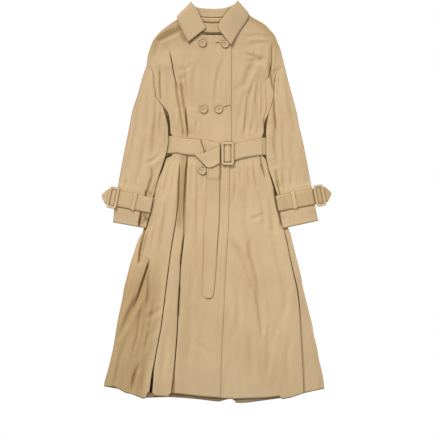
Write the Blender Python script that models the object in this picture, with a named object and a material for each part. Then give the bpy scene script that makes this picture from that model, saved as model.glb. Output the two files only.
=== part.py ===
"""Long belted trench coat, laid flat on its back with its front up.

X runs to the viewer's right, Y from the hem to the collar and Z up from the surface it lies on.
The origin is the middle of the coat's outline, on that surface. Left and right are the viewer's.
Sizes are in millimetres, and are turned into metres where a mesh is made.
"""
import math

import bmesh
import bpy
import numpy as np

MM = 0.001

# Driving sizes
CLOTH = 1.3            # wall of one panel
GAP = 0.35             # between two pieces that touch
STRAP = 1.9            # thickness of belt and cuff straps
BELT_WIDTH = 48.0
LEAF_WALL = 1.3        # collar
BUTTON_DIAMETER = 27.0
BUTTON_THICK = 3.6
BUCKLE_BAR = 8.0       # width of a buckle's rim

# Where the coat's outline has its middle, in the frame of the tables below
LAY_X = 0.94
LAY_Y = -0.63

# Loft of the cloth over the panel below it
BILLOW = 2.7
BILLOW_REACH = 70.0
PANEL_GAP = 0.4         # between two panels that lie on each other
OVERLAP_RISE = CLOTH + 0.45
STRAP_ROOM = STRAP + GAP + 0.15   # between a sleeve and the surface, where its cuff strap passes below
SLEEVE_EDGE = 1.9      # radius of a sleeve's folded edge
SLEEVE_BILLOW = 2.4

# Neck seam at the back
NECK_X = -6.5
NECK_HALF = 80.0
NECK_LOW = 551.0
NECK_RISE = 23.0


def table(columns, rows):
    """Named columns of numbers, sorted by the first."""
    data = np.array(sorted(rows), dtype=float)
    return {name: data[:, i] for i, name in enumerate(columns.split())}


def ease(t):
    t = np.clip(t, 0.0, 1.0)
    return t * t * (3.0 - 2.0 * t)


def smooth(at, xs, ys):
    """A smooth curve through points, which never swings past them."""
    step = np.diff(xs)
    slope = np.diff(ys) / step
    tangent = np.zeros(len(xs))
    tangent[0], tangent[-1] = slope[0], slope[-1]
    same = slope[:-1] * slope[1:] > 0
    both = np.where(same, slope[:-1] + slope[1:], 1.0)
    tangent[1:-1] = np.where(same, 2.0 * slope[:-1] * slope[1:] / both, 0.0)
    at = np.clip(at, xs[0], xs[-1])
    k = np.clip(np.searchsorted(xs, at) - 1, 0, len(step) - 1)
    t = (at - xs[k]) / step[k]
    hermite = (2 * t ** 3 - 3 * t ** 2 + 1) * ys[k] + (3 * t ** 2 - 2 * t ** 3) * ys[k + 1]
    return hermite + step[k] * ((t ** 3 - 2 * t ** 2 + t) * tangent[k] + (t ** 3 - t ** 2) * tangent[k + 1])


def look_up(tab, name, at):
    key = next(iter(tab))
    return smooth(np.asarray(at, dtype=float), tab[key], tab[name])


# Sides of the body: shoulder, armhole, then side seam down to the hem
BODY = table("y left right", [
    (577, -90, 75), (569, -97, 86), (551, -113, 109), (532, -140, 142), (514, -164, 160),
    (496, -181, 175), (478, -193, 182), (460, -200, 190), (442, -206, 195), (424, -209, 199),
    (408, -211, 203), (399, -196, 193), (388, -192, 181), (364, -188, 173), (345, -185, 171),
    (320, -184, 170), (301, -173, 167), (284, -160, 163), (262, -146, 155), (244, -142, 147),
    (226, -139, 141), (208, -135, 138), (196, -128, 132), (187, -127, 131), (150, -127, 131),
    (138, -129, 132), (127, -151, 144), (85, -165, 158), (55, -176, 168), (30, -183, 177),
    (-15, -188, 191), (-43, -197, 201), (-70, -206, 211), (-83, -213, 216), (-97, -226, 222),
    (-115, -236, 226), (-151, -248, 235), (-187, -260, 244), (-223, -269, 253), (-259, -278, 259),
    (-295, -284, 268), (-331, -292, 277), (-367, -299, 286), (-403, -305, 292), (-439, -311, 301),
    (-475, -319, 307), (-511, -328, 316), (-547, -337, 322), (-604, -341, 326),
])

# How far the back panel and the belt reach out below the sleeves, between underarm and cuff
BELOW_SLEEVES = table("y left right", [
    (577, -90, 75), (407.5, -210, 202), (284, -159, 162), (264, -154, 156.5), (246, -153, 154),
    (230, -151.5, 152.5), (204, -152, 152), (168, -152, 152.5), (144, -153.5, 155), (118, -163, 160),
    (98, -169, 165), (64, -182, 173), (30, -190.5, 181), (10, -196.5, 186), (-15, -202, 191),
    (-38, -208, 199), (-70, -217, 211), (-83, -221, 216), (-97, -226, 222),
])

# Free edges of the two fronts: neckline above NECK_BREAK, then the closing edge
NECK_BREAK = 499.0
OVER_EDGE = table("y x", [
    (577, -88.5), (569, -86), (545, -78), (521, -63), (506, -48), (499.5, -36), (498.5, 44), (470, 44),
    (190, 44), (148, 41), (106, 40), (91, 38), (-52, 36), (-118, 32), (-205, 26), (-307, 22), (-385, 18),
    (-466, 14), (-577, 11), (-604, 10),
])
UNDER_EDGE = table("y x", [
    (577, 74.5), (569, 75), (545, 70), (521, 58), (506, 38), (499.5, 24), (498.5, -56), (-604, -60),
])

# Hems, from left to right
OVER_HEM = table("x y", [
    (-341, -555), (-305, -556), (-291, -564), (-273, -574), (-256, -577), (-221, -591), (-213, -590),
    (-207, -572), (-199, -572), (-193, -574), (-185, -583), (-146, -585.5), (-139, -576), (-124, -576),
    (-101, -578.5), (-52, -584), (10, -589), (60, -591),
])
UNDER_HEM = table("x y", [
    (-60, -586), (0, -590), (57, -592.5), (148, -589), (188, -584), (196, -593), (223, -588), (263, -574),
    (300, -566), (326, -561),
])
BACK_HEM = table("x y", [
    (-341, -554), (-291, -563), (-221, -589), (-146, -586.5), (-101, -589), (-57, -593), (5, -600.5),
    (15, -598), (33, -593), (49, -592), (57, -604), (84, -604), (124, -599), (188, -590.5), (223, -586),
    (263, -573), (326, -559),
])

# Deep folds that run the length of a front: half the opening between the lips is gap
LEFT_OUTER_FOLD = table("y x depth gap", [
    (577, -90, 0, 1.2), (569, -94, 0, 1.2), (532, -120, 0, 1.2), (500, -138, 0, 1.2), (465, -145, 1, 1.2),
    (444, -140, 3.5, 1.2), (410, -133, 7, 1.2), (390, -130, 5.5, 1.2), (349, -120, 3.5, 1.2),
    (324, -115, 2.2, 1.2), (274, -108, 1.4, 1.2), (239, -105, 1.4, 1.2), (196, -103, 1.4, 1.2),
    (155, -105, 1, 1.2), (128, -108, 3, 1.2), (80, -112, 4, 1.2), (4, -115, 5, 1.2),
    (-51, -121, 5.5, 1.2), (-127, -134, 6, 1.2), (-223, -147, 6.5, 1.2), (-303, -157, 7, 1.2),
    (-385, -168, 7, 1.2), (-431, -177, 7, 1.2), (-480, -186, 7.5, 1.3), (-523, -193, 8.5, 3.2),
    (-562, -198, 9, 4.2), (-604, -203, 9, 4.4),
])
LEFT_INNER_FOLD = table("y x depth gap", [
    (577, -89.5, 0, 1.5), (569, -90, 0, 1.5), (532, -96, 0, 1.5), (500, -99, 0, 1.5), (364, -98, 0, 1.5),
    (320, -97, 0.5, 1.5), (285, -94, 2, 1.5), (270, -93, 5.5, 1.5), (243, -91, 6.5, 2.2),
    (220, -88, 7, 3), (193, -86, 6.5, 3.4), (155, -88, 1.5, 2), (131, -90, 4.5, 2), (46, -95, 5, 3.4),
    (-12, -97, 5, 3.6), (-87, -98, 5.5, 3.6), (-127, -101, 7, 1.4), (-175, -107, 8, 1.3),
    (-250, -111, 7, 1.3), (-322, -115, 7, 1.3), (-385, -118, 7, 1.3), (-480, -125, 7.5, 1.5),
    (-515, -128, 8, 2.4), (-538, -130, 8.5, 4.6), (-561, -132, 8.5, 6), (-604, -133, 8.5, 6.4),
])
RIGHT_INNER_FOLD = table("y x depth gap", [
    (577, 75.3, 0, 3), (569, 79, 0, 3), (532, 92, 0, 3), (498, 104, 0, 3), (440, 107, 0, 3),
    (400, 105, 0, 3), (340, 101, 0.8, 3), (308, 98, 1.8, 3), (262, 92, 2.2, 3), (217, 87, 2.8, 3),
    (190, 85, 3, 2.5), (150, 86, 1, 3), (120, 88, 2.2, 3), (4, 90, 2.2, 3), (-60, 90, 2.2, 3),
    (-126, 97, 2.6, 3), (-186, 105, 2.8, 3), (-226, 117, 2.8, 3), (-298, 123, 2.4, 3),
    (-387, 138, 1.8, 3), (-480, 150, 0.8, 3), (-604, 158, 0, 3),
])
RIGHT_OUTER_FOLD = table("y x depth gap", [
    (577, 76, 0, 1.2), (569, 84, 0, 1.2), (514, 135, 0, 1.2), (456, 160, 1, 1.2), (440, 163, 2, 1.2),
    (413, 164, 3.4, 1.2), (393, 160, 5.5, 1.2), (364, 154, 3, 1.2), (334, 150, 1.6, 1.2),
    (262, 135, 1.4, 1.2), (228, 128, 1.4, 1.2), (195, 120, 3.4, 1.2), (152, 119, 1, 1.2),
    (135, 124, 4.4, 1.2), (97, 137, 3.4, 1.2), (70, 146, 2, 1.2), (10, 160, 1, 1.2), (-50, 180, 1, 1.2),
    (-85, 200, 3, 1.2), (-106, 207, 5, 1.2), (-198, 227, 6, 1.2), (-274, 244, 8, 1.6),
    (-322, 249, 6.5, 1.4), (-427, 255, 5.5, 1.2), (-568, 263, 5.5, 1.2), (-604, 265, 5.5, 1.2),
])

# Softer creases of the fronts: depth, width, and the points of each line
FRONT_CREASES = {
    "hip": (4.0, 7, [(-197, -38), (-221, -106), (-230, -158), (-234, -185)]),
    "thigh": (4.5, 8, [(-204, -182), (-218, -230), (-238, -291), (-262, -339), (-290, -406)]),
    "thigh_inner": (1.5, 9, [(-204, -214), (-204, -283), (-214, -346)]),
    "left_hem": (3.0, 7, [(-236, -493), (-248, -532), (-255, -568)]),
    "right_hip": (2.4, 9, [(169, -90), (175, -120), (191, -193), (209, -265), (207, -313), (187, -380)]),
    "lap_diagonal": (1.4, 12, [(50, -130), (98, -210)]),
    "right_chest": (1.8, 9, [(105, 422), (92, 331), (64, 231)]),
    "right_chest_tuck": (2.2, 6, [(92, 442), (111, 434)]),
    "right_shoulder": (1.6, 8, [(100, 422), (142, 427)]),
    "left_shoulder": (1.6, 10, [(-179, 487), (-116, 514)]),
    "left_armhole": (2.4, 7, [(-180, 385), (-178, 364), (-171, 346), (-166, 322)]),
    "left_chest": (1.4, 8, [(-106, 364), (-101, 312)]),
    "right_side": (1.2, 8, [(122, 361), (118, 240)]),
}

# Sleeves: outer and inner end of each section, and how far down the arm it is
LEFT_SLEEVE = table("step ox oy ix iy", [
    (0, -211.6, 407, -160.6, 284), (1, -221, 380, -156, 268), (2, -239, 316, -149.5, 246),
    (3, -253, 271, -145, 220), (4, -263, 217, -144, 188), (5, -274, 163, -149, 152),
    (6, -284, 110, -159.5, 118), (7, -292, 68, -178, 64), (8, -298, 33, -192.5, 10),
    (9, -306, -16, -204.5, -38), (10, -310.5, -63, -216.5, -80.5),
])
RIGHT_SLEEVE = table("step ox oy ix iy", [
    (0, 203.6, 407, 156, 264), (1, 214, 364, 150, 242), (2, 226, 319, 147.5, 222),
    (3, 238, 271, 146.5, 194), (4, 248, 220, 147.5, 166), (5, 260, 169, 151.5, 138),
    (6, 270, 118, 160.5, 98), (7, 279, 70, 170, 56), (8, 285.5, 36, 181.5, 15), (9, 294, -11, 189, -32),
    (10, 304, -58, 199, -81),
])
# Heights of the panel rows along an armhole, with the sleeve's seam set off from them
ARMHOLE_ROWS = (407.5, 398, 380, 350, 320, 300, 284, 262)
ARMHOLE_GAP = 0.9
LEFT_SLEEVE_CREASES = {
    "underarm": (3.4, 5, [(-166, 312), (-164, 269), (-168, 227), (-170, 193)]),
    "elbow": (1.8, 8, [(-180, 246), (-188, 193), (-190, 140)]),
    "above_strap": (2.4, 6, [(-196, 73), (-203, 46), (-208, 20)]),
    "cuff": (2.4, 5, [(-226, -42), (-230, -66)]),
}
RIGHT_SLEEVE_CREASES = {
    "front": (2.6, 7, [(180, 358), (182, 305), (180, 274), (178, 238), (181, 193), (186, 139)]),
    "outer": (1.4, 10, [(209, 308), (216, 274), (221, 228), (229, 170), (234, 139)]),
    "above_strap": (2.4, 6, [(184, 51), (189, 24)]),
}

# Belt: height of its middle line on the front, from side to side
BELT_LINE = table("x y", [(-137, 170), (-125, 170), (-98, 165), (-60, 162), (-20, 158), (8, 144), (33, 143.5),
                          (47, 144), (58, 148.5), (88, 156), (125, 162), (138, 165)])
BELT_BACK_Y = 168.0
BELT_LEFT_TURN = -136.0
BELT_RIGHT_TURN = 139.0
BELT_LIP = 4.7         # height of the belt's flat fold beside the body, below the sleeve
BELT_HOLD = 30.0       # half height of the band that the belt presses flat
BELT_FADE = 26.0
BELT_PRESSED = 0.6      # height left in the cloth below the belt
KEEPER_WIDTH = 12.0
KEEPER_WALL = 1.2

# Collar leaf: fold line and outer edge, with the height of the leaf's upper face at each
LEAF = [
    # fold x, y, z, edge x, y, z
    (-32, 520, 13.2, -85, 477, 9.8), (-37, 530, 13.2, -97, 499, 9.2), (-42, 541, 13.0, -103, 511, 8.8),
    (-48, 552, 12.6, -109, 523, 8.4), (-54, 566, 12.3, -116, 541, 8.0), (-62, 581, 11.8, -118, 549, 7.6),
    (-70, 590, 10.6, -119.3, 553, 7.0), (-75.5, 598, 8.4, -120.4, 554.5, 5.6), (-77, 600, 5.6, -120.8, 555, 3.4),
    (-76, 598, 1.6, -120.4, 554.6, 0.6), (-72, 591, 0, -117, 549, 0), (-66, 586, 0, -107, 533, 0),
    (-57, 582, 0, -86, 522, 0), (-33, 579, 0, -44, 516, 0), (-7, 578, 0, -7, 514, 0), (17, 579.5, 0, 31, 516, 0),
    (36.5, 584.5, 0, 70, 522, 0), (48, 589, 0, 84, 536, 0), (56, 594.5, 0, 90, 554, 0),
    (61.5, 600.8, 0.6, 93.6, 564.6, 0.2), (63.3, 603, 3.6, 95.0, 567.2, 2.6), (61.5, 601, 8.6, 95.8, 562.6, 6.8),
    (55, 593, 10.6, 95.5, 551, 7.6), (42, 580, 12.2, 92, 544, 8.4), (29.5, 566, 12.8, 85, 532, 9.0),
    (17, 548.5, 13.2, 73, 516, 9.6), (8, 535, 13.6, 61, 498, 11.4), (4.5, 525, 13.8, 51, 481, 13.4),
    (8, 513, 13.6, 43, 468.5, 14.0),
]
LEAF_BOW = 1.2         # how far the leaf's middle stands off a straight line

# Collar stand: a closed band; fold line and height, then neck seam and height
STAND = [
    (-7, 576.7, 1.6, -7, 551.6, 1.6), (17, 578, 1.6, 22, 552.8, 1.6), (36.5, 583, 1.6, 46.5, 558.4, 1.6),
    (47, 587.5, 1.6, 59, 564.8, 1.6), (54.5, 592.6, 2.6, 67.5, 571.4, 2.4), (57.5, 595.2, 4.8, 70, 573, 4.2),
    (55, 591.5, 7.4, 69.5, 568.5, 6.0), (48, 584, 8.8, 66.5, 561, 6.8), (32, 566, 10.0, 56, 541, 7.2),
    (19, 548, 11.0, 40, 522, 7.6), (9, 536.5, 11.2, 20, 507.5, 8.8), (-10, 534, 11.2, -10, 505.5, 9.6),
    (-38, 537, 11.2, -33, 507, 8.8), (-50, 552, 10.6, -59, 524, 7.6), (-57.5, 566, 10.0, -74, 545, 7.2),
    (-66.5, 582, 8.8, -81.5, 563, 6.8), (-71, 588, 7.4, -83.5, 569.5, 6.0), (-73, 591, 4.8, -84.6, 571.6, 4.2),
    (-70, 587.5, 2.6, -81.5, 569.6, 2.4), (-64.5, 583.8, 1.6, -73, 564.5, 1.6), (-54.5, 579.7, 1.6, -57.5, 558, 1.6),
    (-33, 577.5, 1.6, -37, 552.8, 1.6),
]

# Belt end that hangs in front: left and right edge of each step down it
TAIL = [
    # left x, y, right x, y
    (-35.5, 181.5, 9, 175), (-35.3, 179, 9, 172.5), (-35, 171, 9.5, 167), (-34.5, 163, 9.7, 161),
    (-33, 148, 9.7, 148), (-31.5, 126, 9.7, 126), (-29.5, 112, 9.7, 112), (-29.5, 103, 9.7, 103),
    (-29.7, 94, 9.8, 94), (-29.8, 85, 9.9, 85), (-30, 74, 10, 74), (-30, 62, 10, 62), (-32, 10, 9.5, 10),
    (-35, -46, 8.5, -46), (-39.5, -97, 5, -99), (-41, -140, 2, -143), (-41.5, -180, -0.5, -184),
    (-43, -225, -4, -228), (-44, -262, -7.5, -264), (-43, -276, -9, -277), (-39, -286, -13, -286.5),
    (-32, -291.5, -20, -291.7),
]
# Band of the half knot, wrapped over the hanging end: upper and lower edge of each step, and its height
KNOT = [
    # upper x, y, lower x, y, height over the belt's face
    (-67, 139.5, -31, 104.5, 0.3), (-65.5, 141, -29.5, 103, 1.0), (-60, 142, -27, 102, 1.7),
    (-49, 142.8, -23.5, 101.5, 2.4), (-38, 145.5, -18, 101.5, 2.8), (-27, 150, -12, 103, 2.8),
    (-13, 155.5, -4.5, 106.5, 2.7), (1, 162, 3.5, 111, 2.6), (9.6, 163.5, 9.6, 114, 2.6),
]

# Buttons: place, and whether the face lies on the over front or the under front
BUTTONS = {
    "button_top_left": (-43.4, 477), "button_top_right": (24.8, 474),
    "button_middle_left": (-40, 278), "button_middle_right": (5, 278),
    "button_low_left": (-43.5, 94), "button_low_right": (-10, 90),
}

# Buckles: middle, turn in degrees, outer width and height, heights of rim and crossbar
BELT_BUCKLE = dict(x=32.7, y=143.5, turn=0.0, width=38.0, height=69.0, low=8.5)
LEFT_CUFF = dict(x=-310.5, y=11.3, turn=-11.5, width=31.0, height=66.0, inner=119.0, keeper=64.0, side=1,
                 edge=8.8, seat=5.1, tilt=0.13)
RIGHT_CUFF = dict(x=308.6, y=18.0, turn=11.0, width=31.0, height=66.0, inner=130.0, keeper=78.0, side=-1,
                  edge=21.0, seat=2.3, tilt=0.0)
CUFF_STRAP_WIDTH = 47.0

MATERIALS = {
    "gabardine": (0.62, 0.45, 0.25, 0.85),
    "belt_cloth": (0.63, 0.455, 0.25, 0.83),
    "buckle_cover": (0.62, 0.45, 0.255, 0.7),
    "button_resin": (0.52, 0.37, 0.2, 0.45),
}


def clear_scene():
    for item in list(bpy.data.objects):
        bpy.data.objects.remove(item, do_unlink=True)


def material(name):
    found = bpy.data.materials.get(name)
    if found:
        return found
    red, green, blue, rough = MATERIALS[name]
    made = bpy.data.materials.new(name)
    made.use_nodes = True
    shader = made.node_tree.nodes["Principled BSDF"]
    shader.inputs["Base Color"].default_value = (red, green, blue, 1.0)
    shader.inputs["Roughness"].default_value = rough
    shader.inputs["Metallic"].default_value = 0.0
    return made


def place(mesh, name, finish, parent):
    """A named object from a bmesh in millimetres."""
    bmesh.ops.recalc_face_normals(mesh, faces=mesh.faces)
    bmesh.ops.scale(mesh, vec=(MM, MM, MM), verts=mesh.verts)
    data = bpy.data.meshes.new(name)
    mesh.to_mesh(data)
    mesh.free()
    data.materials.append(material(finish))
    data.shade_smooth()
    data.set_sharp_from_angle(angle=math.radians(45))
    item = bpy.data.objects.new(name, data)
    bpy.context.scene.collection.objects.link(item)
    item.parent = parent
    return item


def sheet(name, grid, wall, finish, parent, ring=False):
    """A cloth wall below a grid of points; a ring joins the last row to the first."""
    grid = np.asarray(grid, dtype=float)
    rows, columns = grid.shape[:2]
    mesh = bmesh.new()
    verts = [[mesh.verts.new(point) for point in row] for row in grid]
    for j in range(rows if ring else rows - 1):
        k = (j + 1) % rows
        for i in range(columns - 1):
            mesh.faces.new((verts[j][i], verts[k][i], verts[k][i + 1], verts[j][i + 1]))
    bmesh.ops.scale(mesh, vec=(MM, MM, MM), verts=mesh.verts)
    data = bpy.data.meshes.new(name)
    mesh.to_mesh(data)
    mesh.free()
    data.materials.append(material(finish))
    data.shade_smooth()
    item = bpy.data.objects.new(name, data)
    bpy.context.scene.collection.objects.link(item)
    item.parent = parent
    solid = item.modifiers.new("wall", "SOLIDIFY")
    solid.thickness = wall * MM
    solid.offset = -1.0
    solid.use_quality_normals = True
    return item


def crease_change(x, y, creases):
    """Change of height from soft creases: a trough with a low swell on each side."""
    change = np.zeros_like(x)
    for depth, width, points in creases.values():
        points = np.array(points, dtype=float)
        lengths = np.hypot(*np.diff(points, axis=0).T)
        along = np.concatenate(([0.0], np.cumsum(lengths))) / lengths.sum()
        nearest = np.full_like(x, 1e9)
        place_on = np.zeros_like(x)
        for a, b, start, end in zip(points[:-1], points[1:], along[:-1], along[1:]):
            run = b - a
            t = np.clip(((x - a[0]) * run[0] + (y - a[1]) * run[1]) / (run @ run), 0.0, 1.0)
            distance = np.hypot(x - a[0] - t * run[0], y - a[1] - t * run[1])
            closer = distance < nearest
            nearest = np.where(closer, distance, nearest)
            place_on = np.where(closer, start + t * (end - start), place_on)
        strength = depth * np.sqrt(np.sin(np.pi * np.clip(place_on, 0.03, 0.97)))
        swell = 0.35 * np.exp(-((nearest - 2 * width) / width) ** 2)
        change += strength * (swell - np.exp(-(nearest / width) ** 2))
    return change


def belt_grip(y):
    """How hard the belt presses the cloth at this height of the coat."""
    return 1.0 - ease((np.abs(y - BELT_BACK_Y + 4) - BELT_HOLD) / BELT_FADE)


def back_lift(y):
    """The back panel's height off the surface: it lies on the belt and on the back of the collar."""
    belt = (STRAP + GAP) * (1.0 - ease((np.abs(y - BELT_BACK_Y) - 27) / 26))
    collar = (LEAF_WALL + 0.3) * ease((y - 455) / 42)
    return belt + collar


def inset(x, y):
    return np.minimum(x - look_up(BODY, "left", y), look_up(BODY, "right", y) - x)


def over_part(x):
    """1 where the over front lies on the under front, falling to 0 beyond the hidden edge."""
    return ease((x + 98) / 34)


def low_level(x, y, over):
    """Upper face of a front where it is pressed right down."""
    rise = OVERLAP_RISE * over_part(x) if over else 0.0
    return back_lift(y) + 2 * CLOTH + PANEL_GAP + rise


def loft(x, y, folds):
    """Height of a front over its pressed level, before its deep folds are cut in."""
    rise = BILLOW * ease(inset(x, y) / BILLOW_REACH) * (1 - 0.72 * ease((y - 430) / 60))
    for fold in folds:
        extra = np.maximum(look_up(fold, "depth", y) - BILLOW, 0.0)
        distance = x - look_up(fold, "x", y)
        rise = rise + extra * np.exp(-(distance / 34.0) ** 2) * ease(inset(x, y) / 24)
    rise = np.maximum(rise + crease_change(x, y, FRONT_CREASES) * ease(inset(x, y) / 20), 0.0)
    grip = belt_grip(y)
    return rise * (1 - grip) + np.minimum(rise, BELT_PRESSED * ease(inset(x, y) / 60)) * grip


def front_top(x, y, over):
    """Highest level of a front's upper face, which other pieces rest on."""
    folds = (LEFT_OUTER_FOLD, LEFT_INNER_FOLD) if x < 20 else (RIGHT_INNER_FOLD, RIGHT_OUTER_FOLD)
    x, y = np.array([float(x)]), np.array([float(y)])
    return float((low_level(x, y, over) + loft(x, y, folds))[0])


# Cross-section of a deep fold from its outer shoulder to its bottom: offset and share of the depth kept,
# first where the fold is crisp and its lips close over it, then where it is soft
CRISP = [(14.0, 1.0), (0.0, 0.8), (1.9, 0.34), (0.0, 0.0)]
SOFT = [(18.0, 1.0), (10.0, 0.72), (4.5, 0.2), (0.0, 0.0)]


def pressed_depth(fold, y):
    """Depth of a fold at one height, where the belt flattens it."""
    depth, grip = float(look_up(fold, "depth", y)), belt_grip(y)
    return depth * (1 - grip) + min(depth, BELT_PRESSED) * grip


def fold_columns(fold, y, room_left, room_right):
    """Offsets and kept shares across a deep fold at one row, left to right."""
    gap = float(look_up(fold, "gap", y))
    crisp = float(ease((pressed_depth(fold, y) - 2.4) / 1.6))
    half = []
    for step, ((crisp_offset, crisp_share), (soft_offset, soft_share)) in enumerate(zip(CRISP, SOFT)):
        lip = crisp_offset + (gap if step in (1, 2) else 0.0)
        half.append((crisp * lip + (1 - crisp) * soft_offset, crisp * crisp_share + (1 - crisp) * soft_share))
    columns = []
    for side, room in ((-1, room_left), (1, room_right)):
        fit = min(1.0, 0.42 * room / 18.0)
        line = []
        for step, (offset, share) in enumerate(half[:-1]):
            scale = fit if step < 1 or crisp < 0.5 else min(1.0, fit * 1.6)
            line.append((side * offset * scale, share))
        columns.append(line)
    return columns[0] + [(0.0, half[-1][1])] + columns[1][::-1]


def front_rows(hem_low):
    """Heights of the rows of a front above its hem."""
    rows = [572, 562, 549, 532, 514, 499.6, 498.4, 470, 440, 407.5, 398, 380, 350, 320, 300, 284, 262, 230,
            204, 186, 150, 132, 116, 80, 10, -64, -94, -140, -200, -265, -330, -400, -465, -525]
    return [float(y) for y in rows] + [hem_low]


def front_panel(name, over, parent):
    folds = (LEFT_OUTER_FOLD, LEFT_INNER_FOLD) if over else (RIGHT_INNER_FOLD, RIGHT_OUTER_FOLD)
    edge = OVER_EDGE if over else UNDER_EDGE
    hem = OVER_HEM if over else UNDER_HEM
    between = (3, 1, 4) if over else (5, 2, 2)
    grid = []
    for y in front_rows(-560.0):
        side_left, side_right = float(look_up(BODY, "left", y)), float(look_up(BODY, "right", y))
        free = float(np.interp(y, edge["y"], edge["x"]))
        start, end = (side_left + 0.3, free) if over else (free, side_right - 0.3)
        margin = min(0.22 * (end - start), 8.0)
        first_guide = float(np.clip(look_up(folds[0], "x", y), start + margin, end - 2 * margin))
        second_guide = float(np.clip(look_up(folds[1], "x", y), first_guide + margin, end - margin))
        guides = [first_guide, second_guide]
        stops = [start] + guides + [end]
        xs, shares, depths = [], [], []
        for k, fold in enumerate(folds):
            columns = fold_columns(fold, y, stops[k + 1] - stops[k], stops[k + 2] - stops[k + 1])
            first = xs[-1] if xs else start
            target = stops[k + 1] + columns[0][0]
            count = between[k]
            head = [] if xs else [start]
            for x in head + [first + (target - first) * (i + 1) / (count + 1) for i in range(count)]:
                xs.append(x)
                shares.append(1.0)
                depths.append(0.0)
            for offset, share in columns:
                xs.append(stops[k + 1] + offset)
                shares.append(share)
                depths.append(pressed_depth(fold, y))
        last = xs[-1]
        for i in range(between[2] + 1):
            xs.append(last + (end - last) * (i + 1) / (between[2] + 1))
            shares.append(1.0)
            depths.append(0.0)
        xs, shares, depths = np.array(xs), np.array(shares), np.array(depths)
        ys = np.full_like(xs, y)
        if y <= -560.0:
            ys = np.interp(xs, hem["x"], hem["y"])
        height = np.maximum(loft(xs, ys, folds) - depths * (1 - shares), 0.0)
        grid.append(np.stack([xs, ys, low_level(xs, ys, over) + height], axis=1))
    return sheet(name, grid, CLOTH, "gabardine", parent)


def back_side(side, y):
    """The back reaches under the sleeves, and is drawn in where the belt goes round it."""
    if not -97 < y < 284:
        return float(look_up(BODY, side, y))
    belt_middle = float(look_up(BELT_LINE, "y", -150 if side == "left" else 150))
    if abs(y - belt_middle) < BELT_WIDTH / 2 + 1.5:
        return float(look_up(BODY, side, 168))
    return float(look_up(BELOW_SLEEVES, side, y))


def back_panel(parent):
    """One flat panel under everything, with the neck seam as its top row."""
    rows = [(573.5, 1.0), (562, 0.8), (548, 0.58), (532, 0.34), (514, 0.12), (497, 0.0)]
    rows += [(y, 0.0) for y in (476, 455, 407.5, 398, 380, 350, 320, 300, 284, 264, 246, 230, 204, 196.5, 195,
                                191, 189.5, 145.5, 144, 140.5, 139, 118, 98, 64, 10, -38, -83, -97, -200,
                                -380, -552)]
    grid = []
    for y, neck in rows:
        left, right = back_side("left", y) + 1.0, back_side("right", y) - 1.0
        xs = left + (right - left) * np.linspace(0, 1, 13)
        reach = np.clip(np.abs(xs - NECK_X) / NECK_HALF, 0, 1)
        ys = y + neck * NECK_RISE * (reach ** 3 - 1)
        if y <= -552:
            ys = np.interp(xs, BACK_HEM["x"], BACK_HEM["y"])
        grid.append(np.stack([xs, ys, back_lift(ys) + CLOTH], axis=1))
    return sheet("back", grid, CLOTH, "gabardine", parent)


def rest_under_sleeve(x, y, side):
    """What holds a sleeve's inner edge up: the back, the belt's turn and, on the right, the skirt's edge."""
    limit = look_up(BELOW_SLEEVES, "left" if side < 0 else "right", y)
    clear = np.where(y > 150, side * (x - limit), side * (x - limit) + 1.0)
    at_belt = 1.0 - ease((np.abs(y - BELT_BACK_Y) - 32) / 32)
    height = (CLOTH + 0.45) * ease((284 - y) / 20) + 3.3 * at_belt
    if side > 0:
        height = np.maximum(height, CLOTH + 0.45 + 2.1 * ease((95.0 - y) / 40.0))
    height = height * ease((284 - y) / 20)
    return height * np.clip((24.0 - clear) / 21.0, 0.0, 1.0) * (side * x > 120)


def strap_hold(x, y, cuff):
    """1 under a cuff strap's band, 0 clear of it."""
    angle = math.radians(cuff["turn"])
    across = (x - cuff["x"]) * -math.sin(angle) + (y - cuff["y"]) * math.cos(angle)
    return 1.0 - ease((np.abs(across) - CUFF_STRAP_WIDTH / 2 - 11) / 16)


def sleeve_levels(x, y, edge_distance, side, cuff, creases):
    """Lower and upper outer face of a flattened sleeve."""
    hold = strap_hold(x, y, cuff)
    base = rest_under_sleeve(x, y, side) + STRAP_ROOM * hold
    near = np.clip(edge_distance / SLEEVE_EDGE, 0, 1)
    round_off = SLEEVE_EDGE * np.sqrt(np.maximum(1 - (1 - near) ** 2, 0))
    swell = np.maximum(SLEEVE_BILLOW * ease(edge_distance / 30) + crease_change(x, y, creases)
                       * ease(edge_distance / 8), 0.0)
    swell = swell * (1 - hold) + np.minimum(swell, 0.9 * ease(edge_distance / 30)) * hold
    return base + SLEEVE_EDGE - round_off, base + SLEEVE_EDGE + round_off + swell


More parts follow.
